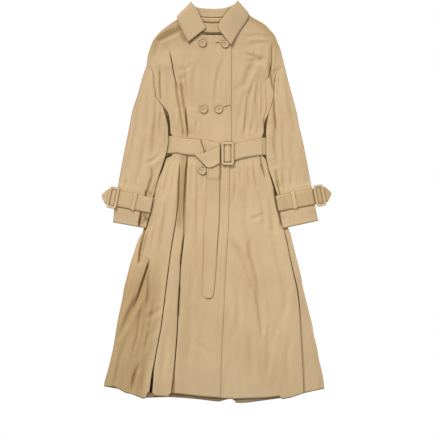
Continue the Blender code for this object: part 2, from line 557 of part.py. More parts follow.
def sleeve(name, sections, creases, side, cuff, parent):
    """A flattened tube from armhole to cuff, open at both ends."""
    steps = [0, 1, 1.8, 2.6, 3.4, 4.2, 5, 5.8, 6.5, 7.1, 7.55, 8, 8.5, 9, 9.35, 9.7, 10]
    over = [0, 0.7, 3, 12, 30]
    grid = []
    for step in steps:
        ox, oy, ix, iy = (float(look_up(sections, key, step)) for key in ("ox", "oy", "ix", "iy"))
        width = math.hypot(ix - ox, iy - oy)
        share = [d / width for d in over] + [0.42, 0.56, 0.707] + [1 - d / width for d in over[::-1]]
        share = np.array(share)
        share[:5] = np.minimum(share[:5], 0.36)
        share[8:] = np.maximum(share[8:], 0.76)
        xs, ys = ox + (ix - ox) * share, oy + (iy - oy) * share
        if step == 0:
            ys = oy + (iy - oy) * share
            heights = np.array(ARMHOLE_ROWS[::-1])
            seam = look_up(BODY, "left" if side < 0 else "right", heights) + side * ARMHOLE_GAP
            xs = np.interp(ys, heights, seam)
        distance = np.minimum(share, 1 - share) * width
        lower, upper = sleeve_levels(xs, ys, distance, 1 if side > 0 else -1, cuff, creases)
        top = np.stack([xs, ys, upper], axis=1)
        bottom = np.stack([xs, ys, lower], axis=1)[1:-1][::-1]
        ring = np.concatenate([top, bottom])
        grid.append(ring[::-1] if side < 0 else ring)
    grid = np.array(grid).transpose(1, 0, 2)
    return sheet(name, grid, CLOTH, "gabardine", parent, ring=True)


def ribbon(name, stations, wall, finish, parent, across=5, bow=0.0, ring=False):
    """A strip between two edges; each station is one edge point and the other."""
    grid = []
    for station in stations:
        first, last = np.array(station[:3], dtype=float), np.array(station[3:6], dtype=float)
        share = np.linspace(0, 1, across)[:, None]
        line = first + (last - first) * share
        lift = station[6] if len(station) > 6 else 1.0
        line[:, 2] += bow * lift * np.sin(math.pi * share[:, 0])
        grid.append(line)
    return sheet(name, grid, wall, finish, parent, ring)


def collar(parent):
    """The leaf folds outwards over the shoulders and under the back; the stand is inside it."""
    leaf = [row + (1.0 if row[2] > 7 else 0.0,) for row in LEAF]
    ribbon("collar_leaf", leaf, LEAF_WALL, "gabardine", parent, across=7, bow=LEAF_BOW)
    ribbon("collar_stand", STAND, LEAF_WALL, "gabardine", parent, across=4, ring=True)


def belt_under(x):
    """Lower face of the belt where it lies on the fronts."""
    x = np.asarray(x, dtype=float)
    near_side = np.minimum(x - BELT_LEFT_TURN, BELT_RIGHT_TURN - x)
    over = ease((x + 106) / 34) * (1 - ease((x - 50) / 30))
    swell = BELT_PRESSED * ease(near_side / 55)
    pressed = (STRAP + GAP) + 2 * CLOTH + PANEL_GAP + swell + OVERLAP_RISE * over
    bar = np.exp(-((x - BELT_BUCKLE["x"]) / 8.5) ** 4) * 2.9
    return pressed + GAP + bar


def belt_turn(side):
    """The belt's outer face round the coat's side: down the side, out in a flat fold and back under."""
    turn = BELT_LEFT_TURN if side < 0 else BELT_RIGHT_TURN
    end = float(look_up(BELOW_SLEEVES, "left" if side < 0 else "right", BELT_BACK_Y))
    high = float(belt_under(turn - side * 9.0)) + STRAP
    return [(turn - side * 8.5, high), (turn - side * 3.5, high - 0.5), (turn - side * 0.8, high - 1.7),
            (turn + side * 1.2, BELT_LIP + 0.5), (turn + side * 4.0, BELT_LIP), (end - side * 5.0, BELT_LIP),
            (end - side * 1.5, BELT_LIP - 0.4), (end, BELT_LIP / 2), (end - side * 1.5, 0.4),
            (end - side * 5.0, 0.0)]


def belt(parent):
    """One strip: from the knot round the left side, under the back and up to the buckle."""
    front_left = [(x, float(belt_under(x)) + STRAP) for x in (-22, -32, -45, -62, -80, -95, -110, -120)]
    under = [(x, 0.0) for x in (-100, -50, 0, 50, 100)]
    front_right = [(x, float(belt_under(x)) + STRAP) for x in (118, 100, 84, 74, 64, 56, 50, 44, 39, 33, 27,
                                                             21.5, 16, 11.5)]
    stations = []
    for x, z in front_left + belt_turn(-1):
        stations.append((x, z, float(look_up(BELT_LINE, "y", x))))
    for x, z in under:
        stations.append((x, z, BELT_BACK_Y))
    for x, z in belt_turn(1)[::-1] + front_right:
        stations.append((x, z, float(look_up(BELT_LINE, "y", x))))
    strip = []
    for x, z, y in stations:
        half = BELT_WIDTH / 2 - (1.2 if abs(x - BELT_BUCKLE["x"]) < 22 and z > 5 else 0.0)
        strip.append((x, y + half, z, x, y - half, z))
    ribbon("belt", strip, STRAP, "belt_cloth", parent, across=3)


def tail_under(x, y):
    """Lower face of the hanging belt end."""
    line = float(look_up(BELT_LINE, "y", x))
    on_belt = float(belt_under(min(x, 8.0))) + STRAP + GAP
    on_front = front_top(x, y, True) + 0.55
    share = float(ease((line - BELT_WIDTH / 2 - 2.5 - y) / 26))
    button = BUTTONS["button_low_right"]
    reach = math.hypot(x - button[0], y - button[1])
    over_button = front_top(*button, True) + BUTTON_THICK + 2 * GAP + 0.3
    share_button = 1.0 - float(ease((reach - 17) / 20))
    height = on_belt + (on_front - on_belt) * share
    height = max(height, height + (over_button - height) * share_button)
    over_top = float(ease((y - line - BELT_WIDTH / 2 + 4) / 9))
    return max(height - 3.0 * over_top, on_front)


def belt_tail(parent):
    rows = []
    for lx, ly, rx, ry in TAIL:
        line = []
        for share in np.linspace(0, 1, 5):
            x, y = lx + (rx - lx) * share, ly + (ry - ly) * share
            line.append((x, y, tail_under(x, y) + STRAP))
        rows.append(line)
    sheet("belt_tail", rows, STRAP, "belt_cloth", parent)


def belt_knot(parent):
    """Band of the half knot, from its fold at the lower left to the buckle."""
    rows = []
    for ux, uy, lx, ly, rise in KNOT:
        line = []
        for share in np.linspace(0, 1, 5):
            x, y = ux + (lx - ux) * share, uy + (ly - uy) * share
            face = float(belt_under(min(x, 8.0))) + STRAP
            tail = tail_under(max(x, -34.0), y) + STRAP + GAP + 0.3
            height = face + GAP + rise - 0.3
            if x > -40:
                height = max(height, tail)
            line.append((x, y, height + STRAP))
        rows.append(line)
    sheet("belt_knot", rows[::-1], STRAP, "belt_cloth", parent)


def rounded_box(mesh, width, height, low, high, radius, steps=4):
    """A flat block with round corners, in the middle of the bmesh."""
    ring = []
    for corner_x, corner_y, start in ((1, 1, 0), (-1, 1, 90), (-1, -1, 180), (1, -1, 270)):
        for k in range(steps):
            angle = math.radians(start + 90 * k / (steps - 1))
            ring.append((corner_x * (width / 2 - radius) + radius * math.cos(angle),
                         corner_y * (height / 2 - radius) + radius * math.sin(angle)))
    lower = [mesh.verts.new((x, y, low)) for x, y in ring]
    upper = [mesh.verts.new((x, y, high)) for x, y in ring]
    mesh.faces.new(lower[::-1])
    mesh.faces.new(upper)
    for k in range(len(ring)):
        n = (k + 1) % len(ring)
        mesh.faces.new((lower[k], lower[n], upper[n], upper[k]))


def block(name, width, height, low, high, radius, parent):
    mesh = bmesh.new()
    rounded_box(mesh, width, height, low, high, radius)
    return place(mesh, name, "buckle_cover", parent)


def cut(target, tool, operation):
    step = target.modifiers.new(operation.lower(), "BOOLEAN")
    step.operation = operation
    step.solver = "EXACT"
    step.object = tool
    tool.hide_render = True
    tool.display_type = "WIRE"


def buckle(name, width, height, parent, spot, turn, tilt=0.0):
    """Covered frame with a crossbar set low, so that a strap passes over the bar and under the rims."""
    rim_low, rim_high, bar_low, bar_high = 2.45, 5.6, 0.0, 2.0
    opening = height - 2 * BUCKLE_BAR - 1.0
    frame = block(name, width, height, bar_low, rim_high, 7.0, parent)
    window = block(name + "_window", width - 2 * BUCKLE_BAR + 1.5, opening, -1.0, rim_high + 1.0, 2.5, parent)
    channel = block(name + "_channel", width + 10.0, opening, -1.0, rim_low, 0.5, parent)
    bar = block(name + "_bar", 5.0, height - BUCKLE_BAR, bar_low, bar_high, 0.8, parent)
    cut(frame, window, "DIFFERENCE")
    cut(frame, channel, "DIFFERENCE")
    cut(frame, bar, "UNION")
    for item in (frame, window, channel, bar):
        item.location = [v * MM for v in spot]
        item.rotation_euler = (0.0, tilt, math.radians(turn))
    return frame


def button(name, x, y, low, parent):
    """Turned button: flat back, raised round rim and a dished face with a centre dimple."""
    outer = BUTTON_DIAMETER / 2
    profile = [(0.0, 0.0), (outer - 0.9, 0.0), (outer, 1.1), (outer - 0.2, 2.5), (outer - 1.6, BUTTON_THICK),
               (outer - 4.2, 2.3), (3.4, 2.3), (0.0, 1.5)]
    count = 16
    mesh = bmesh.new()
    rings = []
    for radius, height in profile:
        if radius == 0.0:
            rings.append([mesh.verts.new((0.0, 0.0, height))])
            continue
        angles = [2 * math.pi * k / count for k in range(count)]
        rings.append([mesh.verts.new((radius * math.cos(a), radius * math.sin(a), height)) for a in angles])
    for a, b in zip(rings[:-1], rings[1:]):
        for k in range(count):
            n = (k + 1) % count
            around = [a[k % len(a)], a[n % len(a)], b[n % len(b)], b[k % len(b)]]
            mesh.faces.new(list(dict.fromkeys(around)))
    item = place(mesh, name, "button_resin", parent)
    item.location = (x * MM, y * MM, low * MM)
    return item


def button_seat(x, y):
    """Height at which a button's flat back clears the cloth below it."""
    ring = [(x, y)] + [(x + 13 * math.cos(a), y + 13 * math.sin(a)) for a in np.linspace(0, 2 * math.pi, 13)]
    return max(front_top(px, py, True) for px, py in ring) + GAP


def cuff_point(cuff, along, across=0.0):
    """A place in the coat's frame from one along and across a cuff strap, from its buckle's middle."""
    angle = math.radians(cuff["turn"])
    u = (math.cos(angle) * cuff["side"], math.sin(angle) * cuff["side"])
    v = (-math.sin(angle), math.cos(angle))
    return cuff["x"] + along * u[0] + across * v[0], cuff["y"] + along * u[1] + across * v[1]


def cuff_rest(x, y, cuff):
    side = -cuff["side"]
    return float(rest_under_sleeve(np.array([float(x)]), np.array([float(y)]), side)[0])


def cuff_top(x, y, cuff):
    """Upper face of the sleeve below the strap."""
    return cuff_rest(x, y, cuff) + STRAP_ROOM + 2 * SLEEVE_EDGE + 0.95


def cuff_strap(name, cuff, parent):
    """From the buckle's crossbar under the sleeve, round its inner edge and back through the buckle."""
    turn, edge, seat = cuff["inner"], cuff["edge"], cuff["seat"]
    start = max(seat - GAP - STRAP, 0.0)
    # along the strap, level, how much of the way from under the sleeve to over it, width
    path = [(-2.4, start, 0.0, 1.0), (edge - 5.5, start * 0.75, 0.0, 1.0), (edge - 0.3, 0.15, 0.0, 1.0),
            (edge + 3, 0.0, 0.0, 1.0), (60.0, 0.0, 0.0, 1.0)]
    for back_from_turn in (32, 22, 16, 11):
        path.append((turn - back_from_turn, 0.0, 0.0, 1.0))
    radius = 5.0
    for k in range(0, 7):
        angle = math.pi * k / 6
        path.append((turn - radius + radius * math.sin(angle), 0.0, 0.5 - 0.5 * math.cos(angle), 1.0))
    for along in (turn - 11, turn - 16, turn - 22, turn - 32, 60, 42, edge + 12):
        path.append((along, 0.0, 1.0, 1.0))
    if edge > 15:
        path += [(edge + 6, 0.0, 1.0, 1.0), (edge + 2.1, 0.0, 1.0, 1.0), (edge, seat + 6.6, None, 1.0),
                 (edge - 2.8, seat + 4.5, None, 1.0)]
    for along, local, width in ((15.8, 2.1, 1.0), (8.2, 2.1, 1.0), (2.9, 4.3, 1.0), (-2.9, 4.3, 1.0),
                                (-8.2, 2.1, 1.0), (-15.8, 2.1, 1.0), (-20.0, 2.1, 0.96), (-27.0, 2.1, 0.62),
                                (-35.0, 1.8, 0.16)):
        path.append((along, seat + local + cuff["tilt"] * along, None, width))
    half = CUFF_STRAP_WIDTH / 2
    stations = []
    for along, level, over, width in path:
        ends = []
        for across in (half * width, -half * width):
            x, y = cuff_point(cuff, along, across)
            z = level
            if over is not None:
                under = cuff_rest(x, y, cuff)
                z += under + over * (cuff_top(x, y, cuff) + GAP + STRAP - under)
            ends.append((x, y, z))
        ends = ends[::-1] if cuff["side"] < 0 else ends
        stations.append(ends[0] + ends[1])
    ribbon(name, stations, STRAP, "belt_cloth", parent, across=3)


def cuff_keeper(name, cuff, parent):
    """Cloth loop round the strap, sewn to the sleeve."""
    half = CUFF_STRAP_WIDTH / 2
    low = cuff_top(*cuff_point(cuff, cuff["keeper"]), cuff) + 0.1
    high = low + STRAP + GAP + 1.5
    profile = [(half + 8, low + 1.3), (half + 4.2, low + 1.3), (half + 2.6, low + 2.0),
               (half + 1.9, high - 1.2), (half + 0.2, high), (half - 8, high + 0.1), (0, high + 0.1)]
    profile = profile + [(-across, z) for across, z in profile[-2::-1]]
    rows = []
    for offset in (-KEEPER_WIDTH / 2, KEEPER_WIDTH / 2):
        line = []
        for across, z in profile:
            x, y = cuff_point(cuff, cuff["keeper"] + offset, across)
            line.append((x, y, z))
        rows.append(line)
    rows = rows[::-1] if cuff["side"] > 0 else rows
    sheet(name, rows, KEEPER_WALL, "gabardine", parent)


def main():
    clear_scene()
    coat = bpy.data.objects.new("coat", None)
    bpy.context.scene.collection.objects.link(coat)
    coat.location = (LAY_X * MM, LAY_Y * MM, 0.0)
    back_panel(coat)
    front_panel("front_over", True, coat)
    front_panel("front_under", False, coat)
    sleeve("sleeve_left", LEFT_SLEEVE, LEFT_SLEEVE_CREASES, -1, LEFT_CUFF, coat)
    sleeve("sleeve_right", RIGHT_SLEEVE, RIGHT_SLEEVE_CREASES, 1, RIGHT_CUFF, coat)
    collar(coat)
    belt(coat)
    belt_tail(coat)
    belt_knot(coat)
    buckle("belt_buckle", BELT_BUCKLE["width"], BELT_BUCKLE["height"], coat,
           (BELT_BUCKLE["x"], BELT_BUCKLE["y"], BELT_BUCKLE["low"]), BELT_BUCKLE["turn"])
    for name, (x, y) in BUTTONS.items():
        button(name, x, y, button_seat(x, y), coat)
    for side, cuff in (("left", LEFT_CUFF), ("right", RIGHT_CUFF)):
        cuff_strap("cuff_strap_" + side, cuff, coat)
        cuff_keeper("cuff_keeper_" + side, cuff, coat)
        tilt = -math.atan(cuff["tilt"]) * cuff["side"]
        buckle("cuff_buckle_" + side, cuff["width"], cuff["height"], coat,
               (cuff["x"], cuff["y"], cuff["seat"]), cuff["turn"], tilt)


main()
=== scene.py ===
"""Looks of the long belted trench coat, laid flat on its back with its front up.

X runs to the viewer's right, Y from the hem to the collar and Z up from the surface it lies on.
Left and right are the viewer's. Sizes are in millimetres, and are turned into metres where a mesh is made.
"""
import math

import bmesh
import bpy
import numpy as np
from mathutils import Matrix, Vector

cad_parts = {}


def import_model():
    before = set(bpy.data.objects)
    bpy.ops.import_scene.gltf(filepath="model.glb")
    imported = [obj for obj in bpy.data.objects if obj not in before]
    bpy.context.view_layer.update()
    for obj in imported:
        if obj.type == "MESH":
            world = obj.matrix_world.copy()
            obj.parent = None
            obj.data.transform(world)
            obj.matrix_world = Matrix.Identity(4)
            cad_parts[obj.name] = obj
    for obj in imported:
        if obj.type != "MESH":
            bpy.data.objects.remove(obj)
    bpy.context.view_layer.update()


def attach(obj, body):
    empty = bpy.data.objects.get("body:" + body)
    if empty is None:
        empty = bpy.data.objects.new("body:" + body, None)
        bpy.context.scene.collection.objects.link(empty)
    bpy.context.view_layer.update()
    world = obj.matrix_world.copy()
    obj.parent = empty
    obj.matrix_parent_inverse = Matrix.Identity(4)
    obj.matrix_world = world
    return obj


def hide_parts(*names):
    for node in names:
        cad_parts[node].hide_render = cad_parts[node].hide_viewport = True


MM = 0.001
SIDES = {-1: "left", 1: "right"}

# Driving sizes
CLOTH = 1.3            # wall of one panel
GAP = 0.35             # between two pieces that touch
STRAP = 1.9            # thickness of belt and cuff straps
BELT_WIDTH = 48.0
LEAF_WALL = 1.3        # collar
BUTTON_DIAMETER = 27.0
BUTTON_THICK = 3.6
BUCKLE_BAR = 8.0       # width of a buckle's rim
THINNER = 0.1          # how much thinner a wall of the looks is than its solid's

# Where the coat's outline has its middle, in the frame of the tables below
LAY = np.array([0.94, -0.63, 0.0])

# Loft of the cloth over the panel below it
BILLOW = 2.7
BILLOW_REACH = 70.0
PANEL_GAP = 0.4         # between two panels that lie on each other
STACK_GAP = 0.45        # between a panel and what lies on it beside a seam
OVERLAP_RISE = CLOTH + STACK_GAP
STRAP_ROOM = STRAP + GAP + 0.15   # between a sleeve and the surface, where its cuff strap passes below
SLEEVE_EDGE = 1.9      # radius of a sleeve's folded edge
SLEEVE_BILLOW = 2.4
UNDERARM = 284.0       # height where the body's side leaves the sleeve
SKIRT_TOP = -97.0      # height below which the sleeves end

# Neck seam at the back, and the height where it starts to bend
NECK_X = -6.5
NECK_HALF = 80.0
NECK_RISE = 23.0
NECK_TOP = 573.5
NECK_BASE = 497.0

# Where a height changes: start of the change, and over what distance it runs
COLLAR_CLIMB = (455.0, 42.0)      # heights where the back climbs onto the collar
BACK_OFF_BELT = (27.0, 26.0)      # off the belt's middle, where the back comes down from it
SLEEVE_OFF_BELT = (32.0, 32.0)
OVERLAP_CLIMB = (-98.0, 34.0)     # places where the over front climbs onto the under front
BELT_CLIMB = (-106.0, 34.0)       # places where the belt climbs onto the over front
BELT_DESCENT = (50.0, 30.0)
CHEST_FLATTER = (430.0, 60.0)
STRAP_HOLD_FADE = (11.0, 16.0)    # off a cuff strap's edge
FRONT_HEM_BEND = (500.0, 60.0)    # below Y 0, where the rows bend to the hem's line
BACK_HEM_BEND = (480.0, 72.0)
TAIL_OFF_BELT = (2.5, 26.0)       # below the belt's edge, where the hanging end comes down
TAIL_OFF_BUTTON = (17.0, 20.0)    # off the button's middle
TAIL_TUCK = (-4.0, 9.0)           # above the belt's edge, where the hanging end goes in behind

# Other measures of the cloth
FOLD_SWELL = 34.0                 # reach of the swell beside a deep fold
CHEST_FLATTENING = 0.72
SIDE_FADE = 20.0                  # width over which creases and rests fade to a side or an underarm
PRESSED_FADE = 60.0
SLEEVE_FADE = 30.0
SLEEVE_PRESSED = 0.9              # height left in a sleeve below its strap
BELT_REST = 3.3                   # how much higher a sleeve's edge lies where the belt passes
SKIRT_REST = 2.1                  # the same where the skirt's right edge passes
BAR_LIFT = 2.9                    # how far the buckle's crossbar lifts the belt
BAR_REACH = 8.5
TAIL_CLEAR = 0.55                 # room below the hanging end
TAIL_TUCK_DROP = 3.0
BUTTON_RING = 13.0                # where a button's edge meets the cloth
FOLD_SOFT_BELOW = 2.4             # depth at which a deep fold turns from soft to crisp
FOLD_CRISP_RUN = 1.6
FOLD_ROOM = 0.42                  # share of the room beside a fold that its shoulder may take
SHALLOWEST = 0.08                 # share of its depth that a fold keeps where it is lightest
SIDE_ROOM = (0.22, 8.0)           # share of a front's width, and the most, kept free beside a fold
STITCH_REACH = 0.8
EDGE_DROP = 0.5                   # how far the front edge curls down
LEAN_SHADE = 0.17                 # painted shade over the left of the skirt, as if it leaned away from the light
LEAN_ACROSS = (2.0, 30.0)
LEAN_DOWN = (130.0, 150.0)
# Painted shade towards the sides of the shoulders: strength, height where it starts and over which it grows,
# and its reach in from the side
SHOULDER_SHADE = 0.16
SHOULDER_UP = (395.0, 90.0)
SHOULDER_REACH = 44.0
SWELL_ACROSS = (8.0, 40.0)        # off the outer folds, where the skirt's side swells
SWELL_DOWN = (-20.0, 120.0)
GAP_SHADE = 0.9                   # painted shade of the back where it shows beside the body
BUTTON_COUNT = 56                 # sides of a button
RIM_COUNT = 20                    # sides of a buckle rim's cross-section
THREAD_COUNT = 60                 # turns of thread round a buttonhole

# Look of the cloth
TAN = (0.655, 0.48, 0.276)
TAN_DARK = (0.6, 0.428, 0.239)
COVER_TAN = (0.65, 0.475, 0.28)
THREAD_TAN = (0.6, 0.43, 0.245)
BUTTON_BROWN = (0.56, 0.4, 0.225)
# Dark brown painted as the shade inside buttonholes and button holes
PAINTED_HOLE_SHADE = (0.1, 0.06, 0.035)
TWILL_PITCH = 0.0011
COVER_PITCH = 0.0006
TWILL_LEAN = math.radians(27)
STITCH_PITCH = 3.4
STITCH_LENGTH = 2.4
STITCH_WIDTH = 0.55

# Painted shade that darkens the cloth's colour: by how open the place is, and by the painted shade marked on
# it
CREVICE_SHADE_REACH = 0.014
LEAST_UP = -0.3         # faces turned further down get no painted shade
CREVICE_SHADE_TONES = ((0.12, (0.06, 0.033, 0.016)), (0.35, (0.3, 0.21, 0.13)), (0.55, (0.62, 0.52, 0.4)),
                 (0.75, (0.88, 0.84, 0.78)), (0.97, (1.0, 1.0, 1.0)))
SHADE_TONES = ((0.0, (1.0, 1.0, 1.0)), (0.2, (0.78, 0.73, 0.6)), (1.0, (0.06, 0.042, 0.03)))

# Camera straight above, and light; metres here
CAMERA_HEIGHT = 7.0
SENSOR = 36.0
VIEW_WIDTH = 1.32
VIEW_X = 0.0107
VIEW_Y = -0.0561
FLOOR_HALF = 6.0
FLOOR_Z = -0.0006
WORLD_LIGHT = 0.2
PANEL_LIGHT = 5.0
PANEL_SIZE = 0.7
PANEL_AT = (0.06, 0.06, 1.15)
SUN_LIGHT = 2.75
SUN_SPREAD = 22.0
SUN_FROM = (-0.32, 0.74, 0.57)


def table(columns, rows):
    """Named columns of numbers, sorted by the first."""
    data = np.array(sorted(rows), dtype=float)
    return {name: data[:, i] for i, name in enumerate(columns.split())}


def ease(t):
    t = np.clip(t, 0.0, 1.0)
    return t * t * (3.0 - 2.0 * t)


def grow(value, span):
    """Smooth change from 0 to 1 that starts at the first number of a span and runs over the second."""
    return ease((value - span[0]) / span[1])


def bell(distance, width):
    return np.exp(-(distance / width) ** 2)


def smooth(at, xs, ys):
    """A smooth curve through points, which never swings past them."""
    step = np.diff(xs)
    slope = np.diff(ys) / step
    tangent = np.zeros(len(xs))
    tangent[0], tangent[-1] = slope[0], slope[-1]
    same = slope[:-1] * slope[1:] > 0
    both = np.where(same, slope[:-1] + slope[1:], 1.0)
    tangent[1:-1] = np.where(same, 2.0 * slope[:-1] * slope[1:] / both, 0.0)
    at = np.clip(at, xs[0], xs[-1])
    k = np.clip(np.searchsorted(xs, at) - 1, 0, len(step) - 1)
    t = (at - xs[k]) / step[k]
    hermite = (2 * t ** 3 - 3 * t ** 2 + 1) * ys[k] + (3 * t ** 2 - 2 * t ** 3) * ys[k + 1]
    return hermite + step[k] * ((t ** 3 - 2 * t ** 2 + t) * tangent[k] + (t ** 3 - t ** 2) * tangent[k + 1])


def look_up(tab, name, at):
    key = next(iter(tab))
    return smooth(np.asarray(at, dtype=float), tab[key], tab[name])


def run_along(points, least=0.0):
    """Distance along a line of points from its first."""
    lengths = np.maximum(np.linalg.norm(np.diff(points, axis=0), axis=1), least)
    return np.concatenate(([0.0], np.cumsum(lengths)))


# Sides of the body: shoulder, armhole, then side seam down to the hem
BODY = table("y left right", [
    (577, -90, 75), (569, -97, 86), (551, -113, 109), (532, -140, 142), (514, -164, 160),
    (496, -181, 175), (478, -193, 182), (460, -200, 190), (442, -206, 195), (424, -209, 199),
    (408, -211, 203), (399, -196, 193), (388, -192, 181), (364, -188, 173), (345, -185, 171),
    (320, -184, 170), (301, -173, 167), (284, -160, 163), (262, -146, 155), (244, -142, 147),
    (226, -139, 141), (208, -135, 138), (196, -128, 132), (187, -127, 131), (150, -127, 131),
    (138, -129, 132), (127, -151, 144), (85, -165, 158), (55, -176, 168), (30, -183, 177),
    (-15, -188, 191), (-43, -197, 201), (-70, -206, 211), (-83, -213, 216), (-97, -226, 222),
    (-115, -236, 226), (-151, -248, 235), (-187, -260, 244), (-223, -269, 253), (-259, -278, 259),
    (-295, -284, 268), (-331, -292, 277), (-367, -299, 286), (-403, -305, 292), (-439, -311, 301),
    (-475, -319, 307), (-511, -328, 316), (-547, -337, 322), (-604, -341, 326),
])

# How far the back panel and the belt reach out below the sleeves, between underarm and cuff
BELOW_SLEEVES = table("y left right", [
    (577, -90, 75), (407.5, -210, 202), (284, -159, 162), (264, -154, 156.5), (246, -153, 154),
    (230, -151.5, 152.5), (204, -152, 152), (168, -152, 152.5), (144, -153.5, 155), (118, -163, 160),
    (98, -169, 165), (64, -182, 173), (30, -190.5, 181), (10, -196.5, 186), (-15, -202, 191),
    (-38, -208, 199), (-70, -217, 211), (-83, -221, 216), (-97, -226, 222),
])

# Free edges of the two fronts: the neckline above 499, then the closing edge
OVER_EDGE = table("y x", [
    (577, -88.5), (569, -86), (545, -78), (521, -63), (506, -48), (499.5, -36), (498.5, 44), (470, 44),
    (190, 44), (148, 41), (106, 40), (91, 38), (-52, 36), (-118, 32), (-205, 26), (-307, 22), (-385, 18),
    (-466, 14), (-577, 11), (-604, 10),
])
UNDER_EDGE = table("y x", [
    (577, 74.5), (569, 75), (545, 70), (521, 58), (506, 38), (499.5, 24), (498.5, -56), (-604, -60),
])

# Hems, from left to right
OVER_HEM = table("x y", [
    (-341, -555), (-305, -556), (-291, -564), (-273, -574), (-256, -577), (-221, -591), (-213, -590),
    (-207, -572), (-199, -572), (-193, -574), (-185, -583), (-146, -585.5), (-139, -576), (-124, -576),
    (-101, -578.5), (-52, -584), (10, -589), (60, -591),
])
UNDER_HEM = table("x y", [
    (-60, -586), (0, -590), (57, -592.5), (148, -589), (188, -584), (196, -593), (223, -588), (263, -574),
    (300, -566), (326, -561),
])
BACK_HEM = table("x y", [
    (-341, -554), (-291, -563), (-221, -589), (-146, -586.5), (-101, -589), (-57, -593), (5, -600.5),
    (15, -598), (33, -593), (49, -592), (57, -604), (84, -604), (124, -599), (188, -590.5), (223, -586),
    (263, -573), (326, -559),
])

# Deep folds that run the length of a front: half the opening between the lips is gap
LEFT_OUTER_FOLD = table("y x depth gap", [
    (577, -90, 0, 1.2), (569, -94, 0, 1.2), (532, -120, 0, 1.2), (500, -138, 0, 1.2), (465, -145, 1, 1.2),
    (444, -140, 3.5, 1.2), (410, -133, 7, 1.2), (390, -130, 5.5, 1.2), (349, -120, 3.5, 1.2),
    (324, -115, 2.2, 1.2), (274, -108, 1.4, 1.2), (239, -105, 1.4, 1.2), (196, -103, 1.4, 1.2),
    (155, -105, 1, 1.2), (128, -108, 3, 1.2), (80, -112, 4, 1.2), (4, -115, 5, 1.2),
    (-51, -121, 5.5, 1.2), (-127, -134, 6, 1.2), (-223, -147, 6.5, 1.2), (-303, -157, 7, 1.2),
    (-385, -168, 7, 1.2), (-431, -177, 7, 1.2), (-480, -186, 7.5, 1.3), (-523, -193, 8.5, 3.2),
    (-562, -198, 9, 4.2), (-604, -203, 9, 4.4),
])
LEFT_INNER_FOLD = table("y x depth gap", [
    (577, -89.5, 0, 1.5), (569, -90, 0, 1.5), (532, -96, 0, 1.5), (500, -99, 0, 1.5), (364, -98, 0, 1.5),
    (320, -97, 0.5, 1.5), (285, -94, 2, 1.5), (270, -93, 5.5, 1.5), (243, -91, 6.5, 2.2),
    (220, -88, 7, 3), (193, -86, 6.5, 3.4), (155, -88, 1.5, 2), (131, -90, 4.5, 2), (46, -95, 5, 3.4),
    (-12, -97, 5, 3.6), (-87, -98, 5.5, 3.6), (-127, -101, 7, 1.4), (-175, -107, 8, 1.3),
    (-250, -111, 7, 1.3), (-322, -115, 7, 1.3), (-385, -118, 7, 1.3), (-480, -125, 7.5, 1.5),
    (-515, -128, 8, 2.4), (-538, -130, 8.5, 4.6), (-561, -132, 8.5, 6), (-604, -133, 8.5, 6.4),
])
RIGHT_INNER_FOLD = table("y x depth gap", [
    (577, 75.3, 0, 3), (569, 79, 0, 3), (532, 92, 0, 3), (498, 104, 0, 3), (440, 107, 0, 3),
    (400, 105, 0, 3), (340, 101, 0.8, 3), (308, 98, 1.8, 3), (262, 92, 2.2, 3), (217, 87, 2.8, 3),
    (190, 85, 3, 2.5), (150, 86, 1, 3), (120, 88, 2.2, 3), (4, 90, 2.2, 3), (-60, 90, 2.2, 3),
    (-126, 97, 2.6, 3), (-186, 105, 2.8, 3), (-226, 117, 2.8, 3), (-298, 123, 2.4, 3),
    (-387, 138, 1.8, 3), (-480, 150, 0.8, 3), (-604, 158, 0, 3),
])
RIGHT_OUTER_FOLD = table("y x depth gap", [
    (577, 76, 0, 1.2), (569, 84, 0, 1.2), (514, 135, 0, 1.2), (456, 160, 1, 1.2), (440, 163, 2, 1.2),
    (413, 164, 3.4, 1.2), (393, 160, 5.5, 1.2), (364, 154, 3, 1.2), (334, 150, 1.6, 1.2),
    (262, 135, 1.4, 1.2), (228, 128, 1.4, 1.2), (195, 120, 3.4, 1.2), (152, 119, 1, 1.2),
    (135, 124, 4.4, 1.2), (97, 137, 3.4, 1.2), (70, 146, 2, 1.2), (10, 160, 1, 1.2), (-50, 180, 1, 1.2),
    (-85, 200, 3, 1.2), (-106, 207, 5, 1.2), (-198, 227, 6, 1.2), (-274, 244, 8, 1.6),
    (-322, 249, 6.5, 1.4), (-427, 255, 5.5, 1.2), (-568, 263, 5.5, 1.2), (-604, 265, 5.5, 1.2),
])

# Softer creases of the fronts: depth, width, and the points of each line
FRONT_CREASES = {
    "hip": (4.0, 7, [(-197, -38), (-221, -106), (-230, -158), (-234, -185)]),
    "thigh": (4.5, 8, [(-204, -182), (-218, -230), (-238, -291), (-262, -339), (-290, -406)]),
    "thigh_inner": (1.5, 9, [(-204, -214), (-204, -283), (-214, -346)]),
    "left_hem": (3.0, 7, [(-236, -493), (-248, -532), (-255, -568)]),
    "right_hip": (2.4, 9, [(169, -90), (175, -120), (191, -193), (209, -265), (207, -313), (187, -380)]),
    "lap_diagonal": (1.4, 12, [(50, -130), (98, -210)]),
    "right_chest": (1.8, 9, [(105, 422), (92, 331), (64, 231)]),
    "right_chest_tuck": (2.2, 6, [(92, 442), (111, 434)]),
    "right_shoulder": (1.6, 8, [(100, 422), (142, 427)]),
    "left_shoulder": (1.6, 10, [(-179, 487), (-116, 514)]),
    "left_armhole": (2.4, 7, [(-180, 385), (-178, 364), (-171, 346), (-166, 322)]),
    "left_chest": (1.4, 8, [(-106, 364), (-101, 312)]),
    "right_side": (1.2, 8, [(122, 361), (118, 240)]),
}

